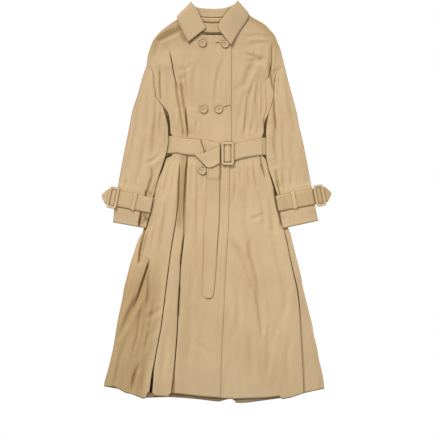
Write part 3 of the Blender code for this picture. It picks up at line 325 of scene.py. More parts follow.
# Sleeves: outer and inner end of each section, and how far down the arm it is
LEFT_SLEEVE = table("step ox oy ix iy", [
    (0, -211.6, 407, -160.6, 284), (1, -221, 380, -156, 268), (2, -239, 316, -149.5, 246),
    (3, -253, 271, -145, 220), (4, -263, 217, -144, 188), (5, -274, 163, -149, 152),
    (6, -284, 110, -159.5, 118), (7, -292, 68, -178, 64), (8, -298, 33, -192.5, 10),
    (9, -306, -16, -204.5, -38), (10, -310.5, -63, -216.5, -80.5),
])
RIGHT_SLEEVE = table("step ox oy ix iy", [
    (0, 203.6, 407, 156, 264), (1, 214, 364, 150, 242), (2, 226, 319, 147.5, 222),
    (3, 238, 271, 146.5, 194), (4, 248, 220, 147.5, 166), (5, 260, 169, 151.5, 138),
    (6, 270, 118, 160.5, 98), (7, 279, 70, 170, 56), (8, 285.5, 36, 181.5, 15), (9, 294, -11, 189, -32),
    (10, 304, -58, 199, -81),
])
LEFT_SLEEVE_CREASES = {
    "underarm": (3.4, 5, [(-166, 312), (-164, 269), (-168, 227), (-170, 193)]),
    "elbow": (1.8, 8, [(-180, 246), (-188, 193), (-190, 140)]),
    "above_strap": (2.4, 6, [(-196, 73), (-203, 46), (-208, 20)]),
    "cuff": (2.4, 5, [(-226, -42), (-230, -66)]),
}
RIGHT_SLEEVE_CREASES = {
    "front": (2.6, 7, [(180, 358), (182, 305), (180, 274), (178, 238), (181, 193), (186, 139)]),
    "outer": (1.4, 10, [(209, 308), (216, 274), (221, 228), (229, 170), (234, 139)]),
    "above_strap": (2.4, 6, [(184, 51), (189, 24)]),
}

# Belt: height of its middle line on the front, from side to side
BELT_LINE = table("x y", [(-137, 170), (-125, 170), (-98, 165), (-60, 162), (-20, 158), (8, 144), (33, 143.5),
                          (47, 144), (58, 148.5), (88, 156), (125, 162), (138, 165)])
BELT_BACK_Y = 168.0
BELT_LEFT_TURN = -136.0
BELT_RIGHT_TURN = 139.0
BELT_LIP = 4.7         # height of the belt's flat fold beside the body, below the sleeve
BELT_HOLD = 30.0       # half height of the band that the belt presses flat
BELT_FADE = 26.0
BELT_PRESSED = 0.6      # height left in the cloth below the belt
KEEPER_WIDTH = 12.0
KEEPER_WALL = 1.1

# Collar leaf: fold line and outer edge, with the height of the leaf's upper face at each
LEAF = [
    # fold x, y, z, edge x, y, z
    (-32, 520, 13.2, -85, 477, 9.8), (-37, 530, 13.2, -97, 499, 9.2), (-42, 541, 13.0, -103, 511, 8.8),
    (-48, 552, 12.6, -109, 523, 8.4), (-54, 566, 12.3, -116, 541, 8.0), (-62, 581, 11.8, -118, 549, 7.6),
    (-70, 590, 10.6, -119.3, 553, 7.0), (-75.5, 598, 8.4, -120.4, 554.5, 5.6),
    (-77, 600, 5.6, -120.8, 555, 3.4), (-76, 598, 1.6, -120.4, 554.6, 0.6), (-72, 591, 0, -117, 549, 0),
    (-66, 586, 0, -107, 533, 0), (-57, 582, 0, -86, 522, 0), (-33, 579, 0, -44, 516, 0),
    (-7, 578, 0, -7, 514, 0), (17, 579.5, 0, 31, 516, 0), (36.5, 584.5, 0, 70, 522, 0),
    (48, 589, 0, 84, 536, 0), (56, 594.5, 0, 90, 554, 0), (61.5, 600.8, 0.6, 93.6, 564.6, 0.2),
    (63.3, 603, 3.6, 95.0, 567.2, 2.6), (61.5, 601, 8.6, 95.8, 562.6, 6.8), (55, 593, 10.6, 95.5, 551, 7.6),
    (42, 580, 12.2, 92, 544, 8.4), (29.5, 566, 12.8, 85, 532, 9.0), (17, 548.5, 13.2, 73, 516, 9.6),
    (8, 535, 13.6, 61, 498, 11.4), (4.5, 525, 13.8, 51, 481, 13.4), (8, 513, 13.6, 43, 468.5, 14.0),
]
LEAF_BOW = 1.2         # how far the leaf's middle stands off a straight line

# Collar stand: a closed band; fold line and height, then neck seam and height
STAND = [
    (-7, 576.7, 1.6, -7, 551.6, 1.6), (17, 578, 1.6, 22, 552.8, 1.6), (36.5, 583, 1.6, 46.5, 558.4, 1.6),
    (47, 587.5, 1.6, 59, 564.8, 1.6), (54.5, 592.6, 2.6, 67.5, 571.4, 2.4), (57.5, 595.2, 4.8, 70, 573, 4.2),
    (55, 591.5, 7.4, 69.5, 568.5, 6.0), (48, 584, 8.8, 66.5, 561, 6.8), (32, 566, 10.0, 56, 541, 7.2),
    (19, 548, 11.0, 40, 522, 7.6), (9, 536.5, 11.2, 20, 507.5, 8.8), (-10, 534, 11.2, -10, 505.5, 9.6),
    (-38, 537, 11.2, -33, 507, 8.8), (-50, 552, 10.6, -59, 524, 7.6), (-57.5, 566, 10.0, -74, 545, 7.2),
    (-66.5, 582, 8.8, -81.5, 563, 6.8), (-71, 588, 7.4, -83.5, 569.5, 6.0),
    (-73, 591, 4.8, -84.6, 571.6, 4.2), (-70, 587.5, 2.6, -81.5, 569.6, 2.4),
    (-64.5, 583.8, 1.6, -73, 564.5, 1.6), (-54.5, 579.7, 1.6, -57.5, 558, 1.6),
    (-33, 577.5, 1.6, -37, 552.8, 1.6),
]

# Belt end that hangs in front: left and right edge of each step down it
TAIL = [
    # left x, y, right x, y
    (-35.5, 181.5, 9, 175), (-35.3, 179, 9, 172.5), (-35, 171, 9.5, 167), (-34.5, 163, 9.7, 161),
    (-33, 148, 9.7, 148), (-31.5, 126, 9.7, 126), (-29.5, 112, 9.7, 112), (-29.5, 103, 9.7, 103),
    (-29.7, 94, 9.8, 94), (-29.8, 85, 9.9, 85), (-30, 74, 10, 74), (-30, 62, 10, 62), (-32, 10, 9.5, 10),
    (-35, -46, 8.5, -46), (-39.5, -97, 5, -99), (-41, -140, 2, -143), (-41.5, -180, -0.5, -184),
    (-43, -225, -4, -228), (-44, -262, -7.5, -264), (-43, -276, -9, -277), (-39, -286, -13, -286.5),
    (-32, -291.5, -20, -291.7),
]
# Band of the half knot, wrapped over the hanging end: upper and lower edge of each step, and its height
KNOT = [
    # upper x, y, lower x, y, height over the belt's face
    (-67, 139.5, -31, 104.5, 0.3), (-65.5, 141, -29.5, 103, 1.0), (-60, 142, -27, 102, 1.7),
    (-49, 142.8, -23.5, 101.5, 2.4), (-38, 145.5, -18, 101.5, 2.8), (-27, 150, -12, 103, 2.8),
    (-13, 155.5, -4.5, 106.5, 2.7), (1, 162, 3.5, 111, 2.6), (9.6, 163.5, 9.6, 114, 2.6),
]

# Buttons: place of each on the fronts
BUTTONS = {
    "button_top_left": (-43.4, 477), "button_top_right": (24.8, 474),
    "button_middle_left": (-40, 278), "button_middle_right": (5, 278),
    "button_low_left": (-43.5, 94), "button_low_right": (-10, 90),
}

# Buckles: middle, turn in degrees, outer width and height, and for the belt's the height it lies at.
# For a cuff's also, along its strap: where the strap turns back, its keeper, which way it runs, and the
# sleeve's outer edge; then the height of the buckle's seat, and how it tilts
BELT_BUCKLE = dict(x=32.7, y=143.5, turn=0.0, width=38.0, height=69.0, low=8.5)
LEFT_CUFF = dict(x=-310.5, y=11.3, turn=-11.5, width=31.0, height=66.0, inner=119.0, keeper=64.0, side=1,
                 edge=8.8, seat=5.1, tilt=0.13)
RIGHT_CUFF = dict(x=308.6, y=18.0, turn=11.0, width=31.0, height=66.0, inner=130.0, keeper=78.0, side=-1,
                  edge=21.0, seat=2.3, tilt=0.0)
CUFF_STRAP_WIDTH = 47.0

# Deep folds of each front, and by height the strength of the painted shade at the bottom of each, which also
# sets how deep it is cut
FRONT_FOLDS = {True: (LEFT_OUTER_FOLD, LEFT_INNER_FOLD), False: (RIGHT_INNER_FOLD, RIGHT_OUTER_FOLD)}
FOLD_TONES = {
    True: (((-560, -529, -493, -450, -100, -62, -26, 46, 118, 370, 406, 442),
            (1, 1, 0.6, 0.5, 0.5, 0.66, 0.5, 0.5, 0.6, 0.7, 0.66, 0.8)),
           ((-566, -530, -494, -458, -422, -386, -350, -314, -278, -242, -206, -170, -134, -98, -62, -26, 46,
             82, 190, 226, 262),
            (0.4, 0.5, 0.5, 0.6, 0.72, 0.68, 0.6, 0.85, 1, 0.7, 0.5, 1, 0.85, 0.52, 0.56, 0.52, 0.6, 0.76,
             0.8, 0.5, 0.9))),
    False: (((-600, 0, 100, 500), (1, 1, 0.75, 0.75)),
            ((-600, -371, -335, -299, -263, -227, -191, -155, -119, -80, 40, 70, 150, 190),
             (0.15, 0.2, 0.4, 0.68, 0.85, 1, 0.8, 0.55, 0.66, 0.8, 0.8, 0.25, 0.25, 0.8))),
}
# Number of columns between the deep folds, from the left of each front
BETWEEN_FOLDS = {True: (44, 12, 44), False: (66, 28, 22)}

# Cross-section of a deep fold from its outer shoulder to its bottom: offset and share of the depth kept,
# first where the fold is crisp and its lips close over it, then where it is soft
CRISP = np.array([(22.0, 1.0), (11.0, 0.97), (4.5, 0.89), (0.0, 0.72), (1.9, 0.34), (0.0, 0.0)])
SOFT = np.array([(22.0, 1.0), (15.0, 0.93), (9.0, 0.68), (5.5, 0.38), (2.6, 0.1), (0.0, 0.0)])
LIP_STEPS = np.array([0, 0, 0, 1, 1, 0])
FOLD_STEPS = np.array([0, 0.5, 1, 1.5, 2, 2.5, 3, 3.4, 3.8, 4.2, 4.6])

# Columns of points beside the front edge, and its two rows of stitching
EDGE_BAND = (20, 16.2, 15.2, 14.2, 13.2, 11, 8, 5, 4, 3.2, 2.4, 1.2, 0.5, 0)
EDGE_STITCHES = (3.2, 14.2)
# Rows close to the steps in the fronts' edges and beside the belt, besides the even ones
FRONT_EXTRA_ROWS = (572.0, 499.6, 498.4, 193.0, 191.0, 146.0, 144.0)
BACK_EXTRA_ROWS = (196.5, 195, 191, 189.5, 145.5, 144, 140.5, 139)
# Distances off a sleeve's edge where its lines of points run, and the heights of the armhole
EDGE_STEPS = np.array([0, 0.3, 0.7, 1.3, 2.1, 3.5, 6, 8.5, 11, 13.5, 16, 18, 20, 22, 24, 26.5, 30])
ARMHOLE = (262.0, 407.5)
SLEEVE_STEPS = 10.0               # the tables of the sleeves count their sections
SEAM_DIP = 0.7                    # share of a sleeve's swell that its seam takes away
CUFF_STITCH = 9.75                # section where the cuff's stitching runs
CUFF_STITCH_REACH = 0.025
TAPE_RUN = (403.0, 254.0)         # heights of a seam allowance's two ends
TAPE_HALF = 5.0
# Slanted line beside the half knot where the belt's end shows, with painted shade along it: heights, then
# places
BELT_END_LINE = ((147.9, 178.5), (-36.2, -46.6))
BELT_END_SHADE = (0.8, 1.5)
BUTTONHOLES = {"buttonhole_middle": ((20, 283), (41, 289)), "buttonhole_top": ((-3, 477), (10, 476))}
# Distance between rows on the fronts, and between stations on strips
ROW_STEP = 4.6
STRIP_STEP = 4.0
STITCH_DIP = 0.35                 # how far a stitched line sinks in
TAIL_WALL = 1.0                   # hanging end of the belt
TAPE_WALL = 0.25                  # seam allowance
# painted shade on the seam allowance, which shows dark where a gap opens between body and sleeve
TAPE_SHADE = 0.75
# Heights of the collar leaf's right edge, and how much lower it lies than its solid
LEAF_LOWER = ((468, 481, 498, 516, 532, 551), (0.8, 2.2, 2.6, 2.0, 1.5, 0.3))

# How strongly the fine creases show, and how far the fronts and sleeves stop short of their common seam
FINE_STRENGTH = 1.9
SKIRT_SWELL = 3.2
SEAM_INSET = 0.15
SLEEVE_INSET = 0.35
# Heights, and how far a front's side or a sleeve's inner edge stands back there
SIDE_GAPS = {
    (-1, "front"): ((-95, -70, -50, -20, 10, 34, 64, 90, 106, 120, 132, 144, 146, 191, 193, 202, 216, 232,
                     240, 275, 292, 306),
                    (0, -2.2, -4.2, -5.2, -4.8, -3.2, -4.4, -1, 0.8, 0, -4, -5, 0, 0, -5, -5, -2, 0,
                     0.6, 1.6, 1.5, 0)),
    (-1, "sleeve"): ((-85, -60, -20, 10, 50, 90, 150, 205, 240, 275, 292, 306),
                     (-3.4, -3, -3.2, -0.6, -0.4, 0.2, 1.0, 1.4, 1.2, 1.2, 1.1, 0)),
    (1, "front"): ((-90, -50, -10, 17, 60, 84, 100, 118, 132, 144, 146, 190, 192, 202, 216, 235, 250, 270),
                   (0, 3, 8, 5, 1.6, 1, 0.6, -1, -4, -5, 0, 0, -5, -4, -2, 0.6, 1.2, 0)),
    (1, "sleeve"): ((-60, -30, 17, 50, 70, 96, 126, 150, 175, 222, 245, 270, 318, 336, 352, 372),
                    (0, 0.5, 1.6, 1.0, -1, -5, -4.6, -1, 1.0, 1.4, 1.2, 0, 0.4, 1.6, 1.0, 0)),
}

# Creases that the solids leave out: depth, width, which side swells, and the points of each line
FRONT_FINE = [
    # above the belt, on the over front
    (1.6, 5, 0, [(-175, 471), (-179, 455), (-184, 438)]),
    (2.8, 7, 0.4, [(-180, 484), (-152, 498), (-112, 517)]),
    (1.6, 6, -0.5, [(-170, 404), (-166, 372), (-168, 330), (-164, 305), (-163, 272)]),
    (1.4, 13, 0, [(-146, 382), (-141, 340), (-138, 298)]),
    (1.5, 4, 0.5, [(-94, 401), (-91, 360), (-88, 326), (-85, 296)]),
    (1.2, 7, 0, [(-67, 404), (-66, 366), (-65, 326)]),
    (1.3, 5, 0, [(-106, 375), (-101, 330), (-94, 290)]),
    (1.1, 11, 0, [(-84, 472), (-74, 455), (-70, 436)]),
    (1.4, 5, 0, [(-75, 230), (-74, 204), (-76, 184)]),
    (1.0, 5, 0, [(-57, 240), (-62, 222), (-64, 200)]),
    (1.0, 4, 0, [(-112, 250), (-113, 222), (-116, 194)]),
    (1.2, 5, 0, [(-127, 262), (-130, 230), (-126, 196)]),
    (1.2, 6, -0.4, [(12, 414), (2, 370), (-2, 328), (-5, 300)]),
    (0.9, 9, 0, [(18, 440), (20, 380), (17, 330)]),
    (0.8, 4, 0, [(-88, 274), (-70, 264), (-52, 262)]),
    (0.7, 4, 0, [(-70, 412), (-92, 398), (-116, 396)]),
    (0.8, 5, 0, [(-92, 374), (-108, 366), (-122, 370)]),
    # above the belt, on the under front
    (1.8, 3.4, 0.5, [(89, 443), (99, 438), (112, 434)]),
    (1.5, 9, 0.3, [(142, 430), (120, 426), (98, 388), (85, 354), (61, 334)]),
    (1.2, 5, 0, [(84, 494), (124, 496), (165, 491)]),
    (1.0, 6, 0, [(100, 470), (132, 476), (160, 474)]),
    (1.0, 5, 0, [(92, 424), (116, 420), (146, 428)]),
    (1.9, 5, -0.5, [(115, 375), (104, 338), (95, 301), (89, 246), (85, 188)]),
    (1.3, 4, 0, [(123, 360), (121, 304), (126, 246)]),
    (1.3, 4, 0.3, [(135, 356), (137, 284), (134, 240)]),
    (1.4, 4, 0, [(151, 330), (154, 284), (142, 234)]),
    (1.5, 4, 0, [(132, 216), (129, 188)]),
    (1.0, 5, 0, [(60, 224), (62, 204), (64, 188)]),
    (1.1, 5, 0, [(106, 238), (104, 210), (106, 190)]),
    (2.6, 4.4, 0.5, [(165, 470), (163, 440), (160, 415), (159, 385)]),
    (2.0, 6, 0.3, [(110, 445), (124, 420), (140, 412)]),
    # below the belt, on the over front
    (1.1, 6, 0, [(-56, 110), (-56, 20), (-57, -60), (-56, -146)]),
    (1.2, 5, 0, [(-72, 126), (-74, 84), (-76, 20)]),
    (1.2, 5, 0, [(-120, 118), (-127, 84), (-133, 30)]),
    (1.3, 5, 0, [(-139, 112), (-147, 70), (-160, 10)]),
    (0.9, 5, 0, [(-40, 116), (-40, 80), (-44, 30)]),
    (1.0, 8, 0, [(-148, 0), (-156, -70), (-166, -140)]),
    (1.2, 7, 0.4, [(-166, -321), (-190, -338), (-209, -351)]),
    (1.6, 8, 0.3, [(-217, -347), (-213, -377), (-230, -424), (-236, -466)]),
    (1.6, 8, 0, [(-187, -381), (-209, -411), (-218, -456)]),
    (1.3, 10, 0, [(-273, -402), (-281, -470), (-281, -540)]),
    (1.1, 8, 0, [(-246, -300), (-262, -370), (-272, -420)]),
    (1.2, 9, 0, [(-216, -470), (-214, -520), (-217, -570)]),
    (0.9, 10, 0, [(-80, -330), (-78, -400), (-84, -470)]),
    (0.9, 9, 0, [(-60, -420), (-30, -452), (-10, -470)]),
    (0.9, 8, 0, [(-150, -380), (-156, -460), (-164, -540)]),
    (0.8, 8, 0, [(-76, -190), (-72, -260), (-74, -300)]),
    (1.7, 4.2, 0, [(-110, 118), (-112, 80), (-115, 4), (-118, -40)]),
    (1.9, 4.2, 0, [(-90, 118), (-94, 46), (-97, -12), (-98, -60)]),
    (1.5, 6, -0.4, [(-181, 10), (-186, -40), (-204, -100), (-214, -150)]),
    (1.6, 5, 0.3, [(-168, 40), (-172, -10), (-180, -60)]),
    (1.7, 4.5, 0.2, [(-262, -210), (-274, -262), (-288, -330)]),
    (1.5, 5, 0, [(-228, -330), (-236, -400), (-250, -452)]),
    (1.5, 5, 0.2, [(-186, -300), (-196, -352), (-206, -400), (-212, -440)]),
    (1.4, 6, 0, [(-286, -440), (-296, -500), (-306, -556)]),
    (4.4, 3.0, 0.2, [(-199, -40), (-212, -75), (-224, -115), (-230, -150), (-234, -187)]),
    (5.2, 2.8, 0.3, [(-202, -180), (-209, -204), (-219, -232), (-238, -290), (-246, -306)]),
    (2.4, 7, 0.3, [(-238, -290), (-250, -318), (-262, -340), (-290, -404)]),
    (2.0, 4, 0, [(-202, -212), (-204, -250), (-204, -284), (-209, -322)]),
    (2.2, 4, 0.5, [(-234, -494), (-243, -516), (-249, -536), (-252, -572)]),
    (1.4, 6, 0, [(-170, -20), (-186, -80), (-194, -140)]),
    # below the belt, on the under front
    (1.4, 5, 0, [(70, 112), (71, 80), (72, 50)]),
    (1.2, 5, 0, [(58, 108), (58, 60), (54, 0)]),
    (1.2, 4, 0, [(96, 116), (96, 80), (100, 34)]),
    (1.2, 4, 0, [(110, 120), (114, 84), (122, 40)]),
    (1.5, 8, 0.4, [(47, -120), (70, -155), (95, -205), (115, -246), (130, -296), (136, -386)]),
    (1.2, 8, 0, [(95, -135), (100, -175), (116, -206)]),
    (1.5, 6, 0, [(155, -375), (154, -410), (155, -442)]),
    (1.3, 8, 0, [(165, 5), (168, -50), (172, -106)]),
    (0.9, 5, 0, [(100, -53), (120, -48), (140, -38)]),
    (0.9, 9, 0, [(176, -380), (160, -450), (150, -520)]),
    (0.9, 9, 0, [(100, -400), (104, -460), (108, -540)]),
    (1.0, 9, 0, [(214, -420), (212, -480), (216, -540)]),
    (0.9, 8, 0, [(62, -240), (66, -330), (64, -400)]),
    (1.0, 7, 0, [(130, 20), (140, -30), (146, -90)]),
]
# Painted shade lines in sharp creases and below edges: strength, width and the points of each line
TAIL_SHADE_LINES = [
    (0.5, 1.5, [(9.5, 130), (10, 62), (9.5, 10), (8.5, -46), (5, -99), (2, -143), (0, -172)]),
    (0.36, 1.5, [(-39, -92), (-41, -140), (-41.5, -180), (-43, -215)]),
]
OVER_SHADE_LINES = [
    (0.62, 2.3, [(-200, -30), (-208.4, -70), (-216.8, -91.5), (-223.7, -121.5), (-230.3, -151.5),
                 (-234, -187)]),
    (0.78, 2.5, [(-203.6, -181.5), (-221.3, -238.5), (-238, -289.5), (-253, -322)]),
    (0.36, 3.6, [(-124, 362), (-119.3, 319.5), (-113.3, 289.5), (-108.8, 259.5), (-104.3, 229.5),
                 (-101, 196)]),
    (0.36, 3.4, [(-107, 358), (-103.4, 319.5), (-99, 282), (-94, 255)]),
    (0.5, 3, [(-94, 262), (-90.7, 229.5), (-88.5, 206), (-87.5, 192)]),
    (0.7, 3, [(-89, 142), (-89.6, 126), (-90.5, 100)]),
    (0.26, 6.5, [(-101, 150), (-102, 100), (-106, 40), (-111, -20), (-113, -80)]),
    (0.3, 6, [(-118, 536), (-113, 520.5), (-104, 499.5), (-93, 479)]),
    (0.46, 7, [(-102, 526), (-122.3, 513), (-137.3, 505.5), (-155.3, 496.5), (-182, 484)]),
    (0.36, 2.6, [(-172, 396), (-171, 360), (-170.3, 334.5), (-167.5, 306)]),
    (0.75, 2.6, [(-46, 504), (-66, 489), (-86, 473.5)]),
    (0.85, 2.7, [(-110.5, -250), (-112.3, -277), (-114, -310), (-116, -346)]),
    (0.8, 2.4, [(-101.5, -116), (-103, -136), (-107, -170), (-108.5, -192)]),
]
UNDER_SHADE_LINES = [
    (0.9, 2.3, [(170, 38), (173, 19.5), (175.5, 4.5), (177.8, -10.5), (181.6, -25.5), (186.8, -40.5),
                (189.8, -55.5), (193.4, -74)]),
    (0.55, 2.2, [(128, 146), (131.3, 124.5), (138, 96), (144, 72)]),
    (0.3, 2.2, [(183, -10), (192, -46), (204, -90), (214, -130)]),
    (0.11, 5, [(110, -98), (95, -126), (98, -160), (106, -190), (116, -236), (119.5, -296), (131, -386),
               (134, -420)]),
    (0.07, 6, [(46, -120), (64, -150), (79, -190), (97, -235), (104, -262)]),
    (0.35, 4, [(140, 250), (144, 215), (146, 196)]),
    (0.56, 2.5, [(166, 476), (163.4, 454.5), (164.5, 430.5), (162.2, 406.5), (160.6, 382.5), (164.5, 358.5),
                 (168.2, 334.5)]),
]
LEFT_SLEEVE_SHADE_LINES = [
    (0.95, 3.4, [(-225, -22), (-227, -34), (-229.4, -45), (-231.6, -61.5), (-233, -76)]),
    (0.45, 6, [(-221, -32), (-214, -44), (-210, -58)]),
    (0.42, 3, [(-194, 104), (-195.2, 78), (-197.3, 64.5), (-201.8, 52.5), (-207, 38), (-210, 28)]),
    (0.9, 3.6, [(-210, 36), (-212, 26), (-213.5, 14), (-214, 6)]),
    (0.34, 5.5, [(-212, 30), (-204, 30), (-194, 20)]),
]
RIGHT_SLEEVE_SHADE_LINES = [
    (0.6, 2.3, [(180, 64), (183, 50), (186, 34), (189, 18)]),
    (0.22, 4, [(176, 96), (181, 66), (184, 44)]),
    (0.5, 2.5, [(167, 344), (170.3, 304.5), (171.8, 274.5), (174.8, 244.5), (177, 216)]),
]
# Painted shade line along the upper edge of the collar stand's front band: strength, width and points
BAND_SHADE_LINE = [(0.75, 2.4, [(-46, 541), (-36, 537.6), (-12, 536), (10, 537), (16, 539)])]
LEFT_SLEEVE_FINE = [
    (3.2, 3.6, 0.2, [(-197, 66), (-201, 40), (-208, 22), (-212, 12)]),
    (4.6, 2.8, 0.2, [(-222, -24), (-226, -45), (-231, -66)]),
    (1.6, 6, 0, [(-212, -32), (-214, -50), (-218, -70)]),
    (1.6, 5, 0, [(-256, 300), (-262, 250), (-266, 200), (-270, 150)]),
    (1.6, 5, 0, [(-168, 262), (-169, 220), (-170, 180)]),
    (1.5, 7, 0, [(-185, 348), (-180, 300), (-180, 248), (-186, 180), (-190, 130)]),
    (1.2, 8, 0, [(-205, 352), (-206, 280), (-212, 210)]),
    (1.2, 9, 0, [(-228, 320), (-234, 250), (-240, 180)]),
    (1.0, 8, 0, [(-250, 210), (-254, 150), (-262, 90)]),
    (1.1, 7, 0, [(-214, 190), (-222, 130), (-228, 70)]),
    (1.2, 5, 0, [(-172, 140), (-190, 122), (-214, 116)]),
    (1.4, 4, 0, [(-269, 66), (-272, 46), (-276, 32)]),
    (1.4, 4, 0, [(-252, 66), (-255, 46), (-258, 34)]),
    (1.0, 6, 0, [(-238, 84), (-240, 62), (-243, 40)]),
    (1.2, 5, 0, [(-190, 372), (-184, 342), (-178, 318)]),
]
RIGHT_SLEEVE_FINE = [
    (1.8, 6, 0.5, [(164, 388), (168, 354), (173, 301), (171, 262)]),
    (1.4, 8, 0, [(181, 401), (188, 328), (198, 261), (218, 208)]),
    (1.3, 8, 0, [(211, 368), (221, 301), (235, 228), (248, 181)]),
    (1.1, 7, 0, [(196, 240), (200, 180), (206, 120)]),
    (1.1, 8, 0, [(226, 180), (232, 130), (240, 80)]),
    (1.2, 6, 0, [(170, 210), (176, 160), (186, 110)]),
    (1.6, 5, 0.4, [(177, 90), (181, 62), (186, 36)]),
    (1.3, 5, 0, [(198, 90), (202, 62), (206, 44)]),
    (1.2, 5, 0, [(220, 96), (225, 70), (228, 52)]),
    (1.1, 5, 0, [(246, 90), (250, 68), (254, 54)]),
]


def off_line(x, y, points):
    """Distance off a line, the same with a sign for its side, and how far along the line, as a share."""
    points = np.array(points, dtype=float)
    along = run_along(points)
    along /= along[-1]
    nearest = np.full_like(x, np.inf)
    signed, place_on = np.zeros_like(x), np.zeros_like(x)
    for a, b, start, end in zip(points[:-1], points[1:], along[:-1], along[1:]):
        run = b - a
        t = np.clip(((x - a[0]) * run[0] + (y - a[1]) * run[1]) / (run @ run), 0.0, 1.0)
        off_x, off_y = x - a[0] - t * run[0], y - a[1] - t * run[1]
        distance = np.hypot(off_x, off_y)
        closer = distance < nearest
        nearest = np.where(closer, distance, nearest)
        side = np.sign(run[0] * off_y - run[1] * off_x)
        signed = np.where(closer, distance * side, signed)
        place_on = np.where(closer, start + t * (end - start), place_on)
    return nearest, signed, place_on


def crease_change(x, y, creases):
    """Change of height from soft creases: a trough with a low swell on each side."""
    change = np.zeros_like(x)
    for depth, width, points in creases.values():
        nearest, _, place_on = off_line(x, y, points)
        strength = depth * np.sqrt(np.sin(np.pi * np.clip(place_on, 0.03, 0.97)))
        change += strength * (0.35 * bell(nearest - 2 * width, width) - bell(nearest, width))
    return change


def crease_relief(x, y, creases):
    """Creases that lean: a trough with a swell on one side or on both."""
    change = np.zeros_like(x)
    for depth, width, lean, points in creases:
        nearest, signed, place_on = off_line(x, y, points)
        strength = depth * np.sqrt(np.sin(np.pi * np.clip(place_on, 0.02, 0.98)))
        swells = sum((1 + way * lean) * bell(signed - way * 1.9 * width, 1.3 * width) for way in (1, -1))
        change += strength * (0.4 * swells - bell(nearest, width))
    return change


def line_shade(x, y, lines):
    """Painted shade along lines where the cloth closes in on itself, weaker towards the ends of a line."""
    shade = np.zeros_like(x)
    for strength, width, points in lines:
        nearest, _, place_on = off_line(x, y, points)
        ends = ease((np.minimum(place_on, 1 - place_on) + 0.03) / 0.12)
        shade = np.maximum(shade, strength * ends * bell(nearest, width))
    return shade


def ripple(x, y, seed, width, length):
    """Uneven waves, mostly between -1 and 1, longer along y than along x."""
    value = np.zeros_like(x)
    for k in range(5):
        turn = 2.399 * (seed + 3 * k)
        across = (0.7 + 0.36 * k) / width
        along = (0.6 + 0.31 * ((k * 2) % 5)) / length
        lean = 0.5 * math.sin(turn) / width
        value += (np.sin(6.283 * (x * across + y * lean * 0.25) + turn)
                  * np.sin(6.283 * y * along + 1.7 * turn))
    return value / 3.0


def belt_grip(y):
    """How hard the belt presses the cloth at this height of the coat."""
    return 1.0 - ease((np.abs(y - BELT_BACK_Y + 4) - BELT_HOLD) / BELT_FADE)


def back_lift(y):
    """The back panel's height off the surface: it lies on the belt and on the back of the collar."""
    belt = (STRAP + GAP) * (1.0 - grow(np.abs(y - BELT_BACK_Y), BACK_OFF_BELT))
    return belt + (LEAF_WALL + 0.3) * grow(y, COLLAR_CLIMB)


def inset(x, y):
    """How far a place is inside the nearer side of the body."""
    return np.minimum(x - look_up(BODY, "left", y), look_up(BODY, "right", y) - x)


def low_level(x, y, over):
    """Upper face of a front where it is pressed right down; the over front lies on the under front."""
    rise = OVERLAP_RISE * grow(x, OVERLAP_CLIMB) if over else 0.0
    return back_lift(y) + 2 * CLOTH + PANEL_GAP + rise


def loft(x, y, folds):
    """Height of a front over its pressed level, before its deep folds are cut in."""
    rise = BILLOW * ease(inset(x, y) / BILLOW_REACH) * (1 - CHEST_FLATTENING * grow(y, CHEST_FLATTER))
    for fold in folds:
        extra = np.maximum(look_up(fold, "depth", y) - BILLOW, 0.0)
        rise = rise + extra * bell(x - look_up(fold, "x", y), FOLD_SWELL) * ease(inset(x, y) / 24)
    rise = np.maximum(rise + crease_change(x, y, FRONT_CREASES) * ease(inset(x, y) / SIDE_FADE), 0.0)
    grip = belt_grip(y)
    return rise * (1 - grip) + np.minimum(rise, BELT_PRESSED * ease(inset(x, y) / PRESSED_FADE)) * grip


def front_top(x, y):
    """Highest level of the over front's upper face, which other pieces rest on."""
    folds = FRONT_FOLDS[x < 20]
    x, y = np.array([float(x)]), np.array([float(y)])
    return float((low_level(x, y, True) + loft(x, y, folds))[0])


def pressed_depth(fold, y):
    """Depth of a fold at one height, where the belt flattens it."""
    depth, grip = float(look_up(fold, "depth", y)), belt_grip(y)
    return depth * (1 - grip) + min(depth, BELT_PRESSED) * grip


def back_side(side, y):
    """The back reaches under the sleeves, and is drawn in where the belt goes round it."""
    below_sleeve = SKIRT_TOP < y < UNDERARM
    belt_middle = float(look_up(BELT_LINE, "y", side * 150))
    in_belt = abs(y - belt_middle) < BELT_WIDTH / 2 + 1.5
    if below_sleeve and not in_belt:
        return float(look_up(BELOW_SLEEVES, SIDES[side], y))
    return float(look_up(BODY, SIDES[side], BELT_BACK_Y if below_sleeve else y))


def rest_under_sleeve(x, y, side):
    """What holds a sleeve's inner edge up: the back, the belt's turn and, on the right, the skirt's edge."""
    limit = look_up(BELOW_SLEEVES, SIDES[side], y)
    clear = np.where(y > 150, side * (x - limit), side * (x - limit) + 1.0)
    at_belt = 1.0 - grow(np.abs(y - BELT_BACK_Y), SLEEVE_OFF_BELT)
    below_arm = ease((UNDERARM - y) / SIDE_FADE)
    height = OVERLAP_RISE * below_arm + BELT_REST * at_belt
    if side > 0:
        height = np.maximum(height, OVERLAP_RISE + SKIRT_REST * ease((95.0 - y) / 40.0))
    return height * below_arm * np.clip((24.0 - clear) / 21.0, 0.0, 1.0) * (side * x > 120)


def strap_hold(x, y, cuff):
    """1 under a cuff strap's band, 0 clear of it."""
    angle = math.radians(cuff["turn"])
    across = (x - cuff["x"]) * -math.sin(angle) + (y - cuff["y"]) * math.cos(angle)
    return 1.0 - grow(np.abs(across) - CUFF_STRAP_WIDTH / 2, STRAP_HOLD_FADE)


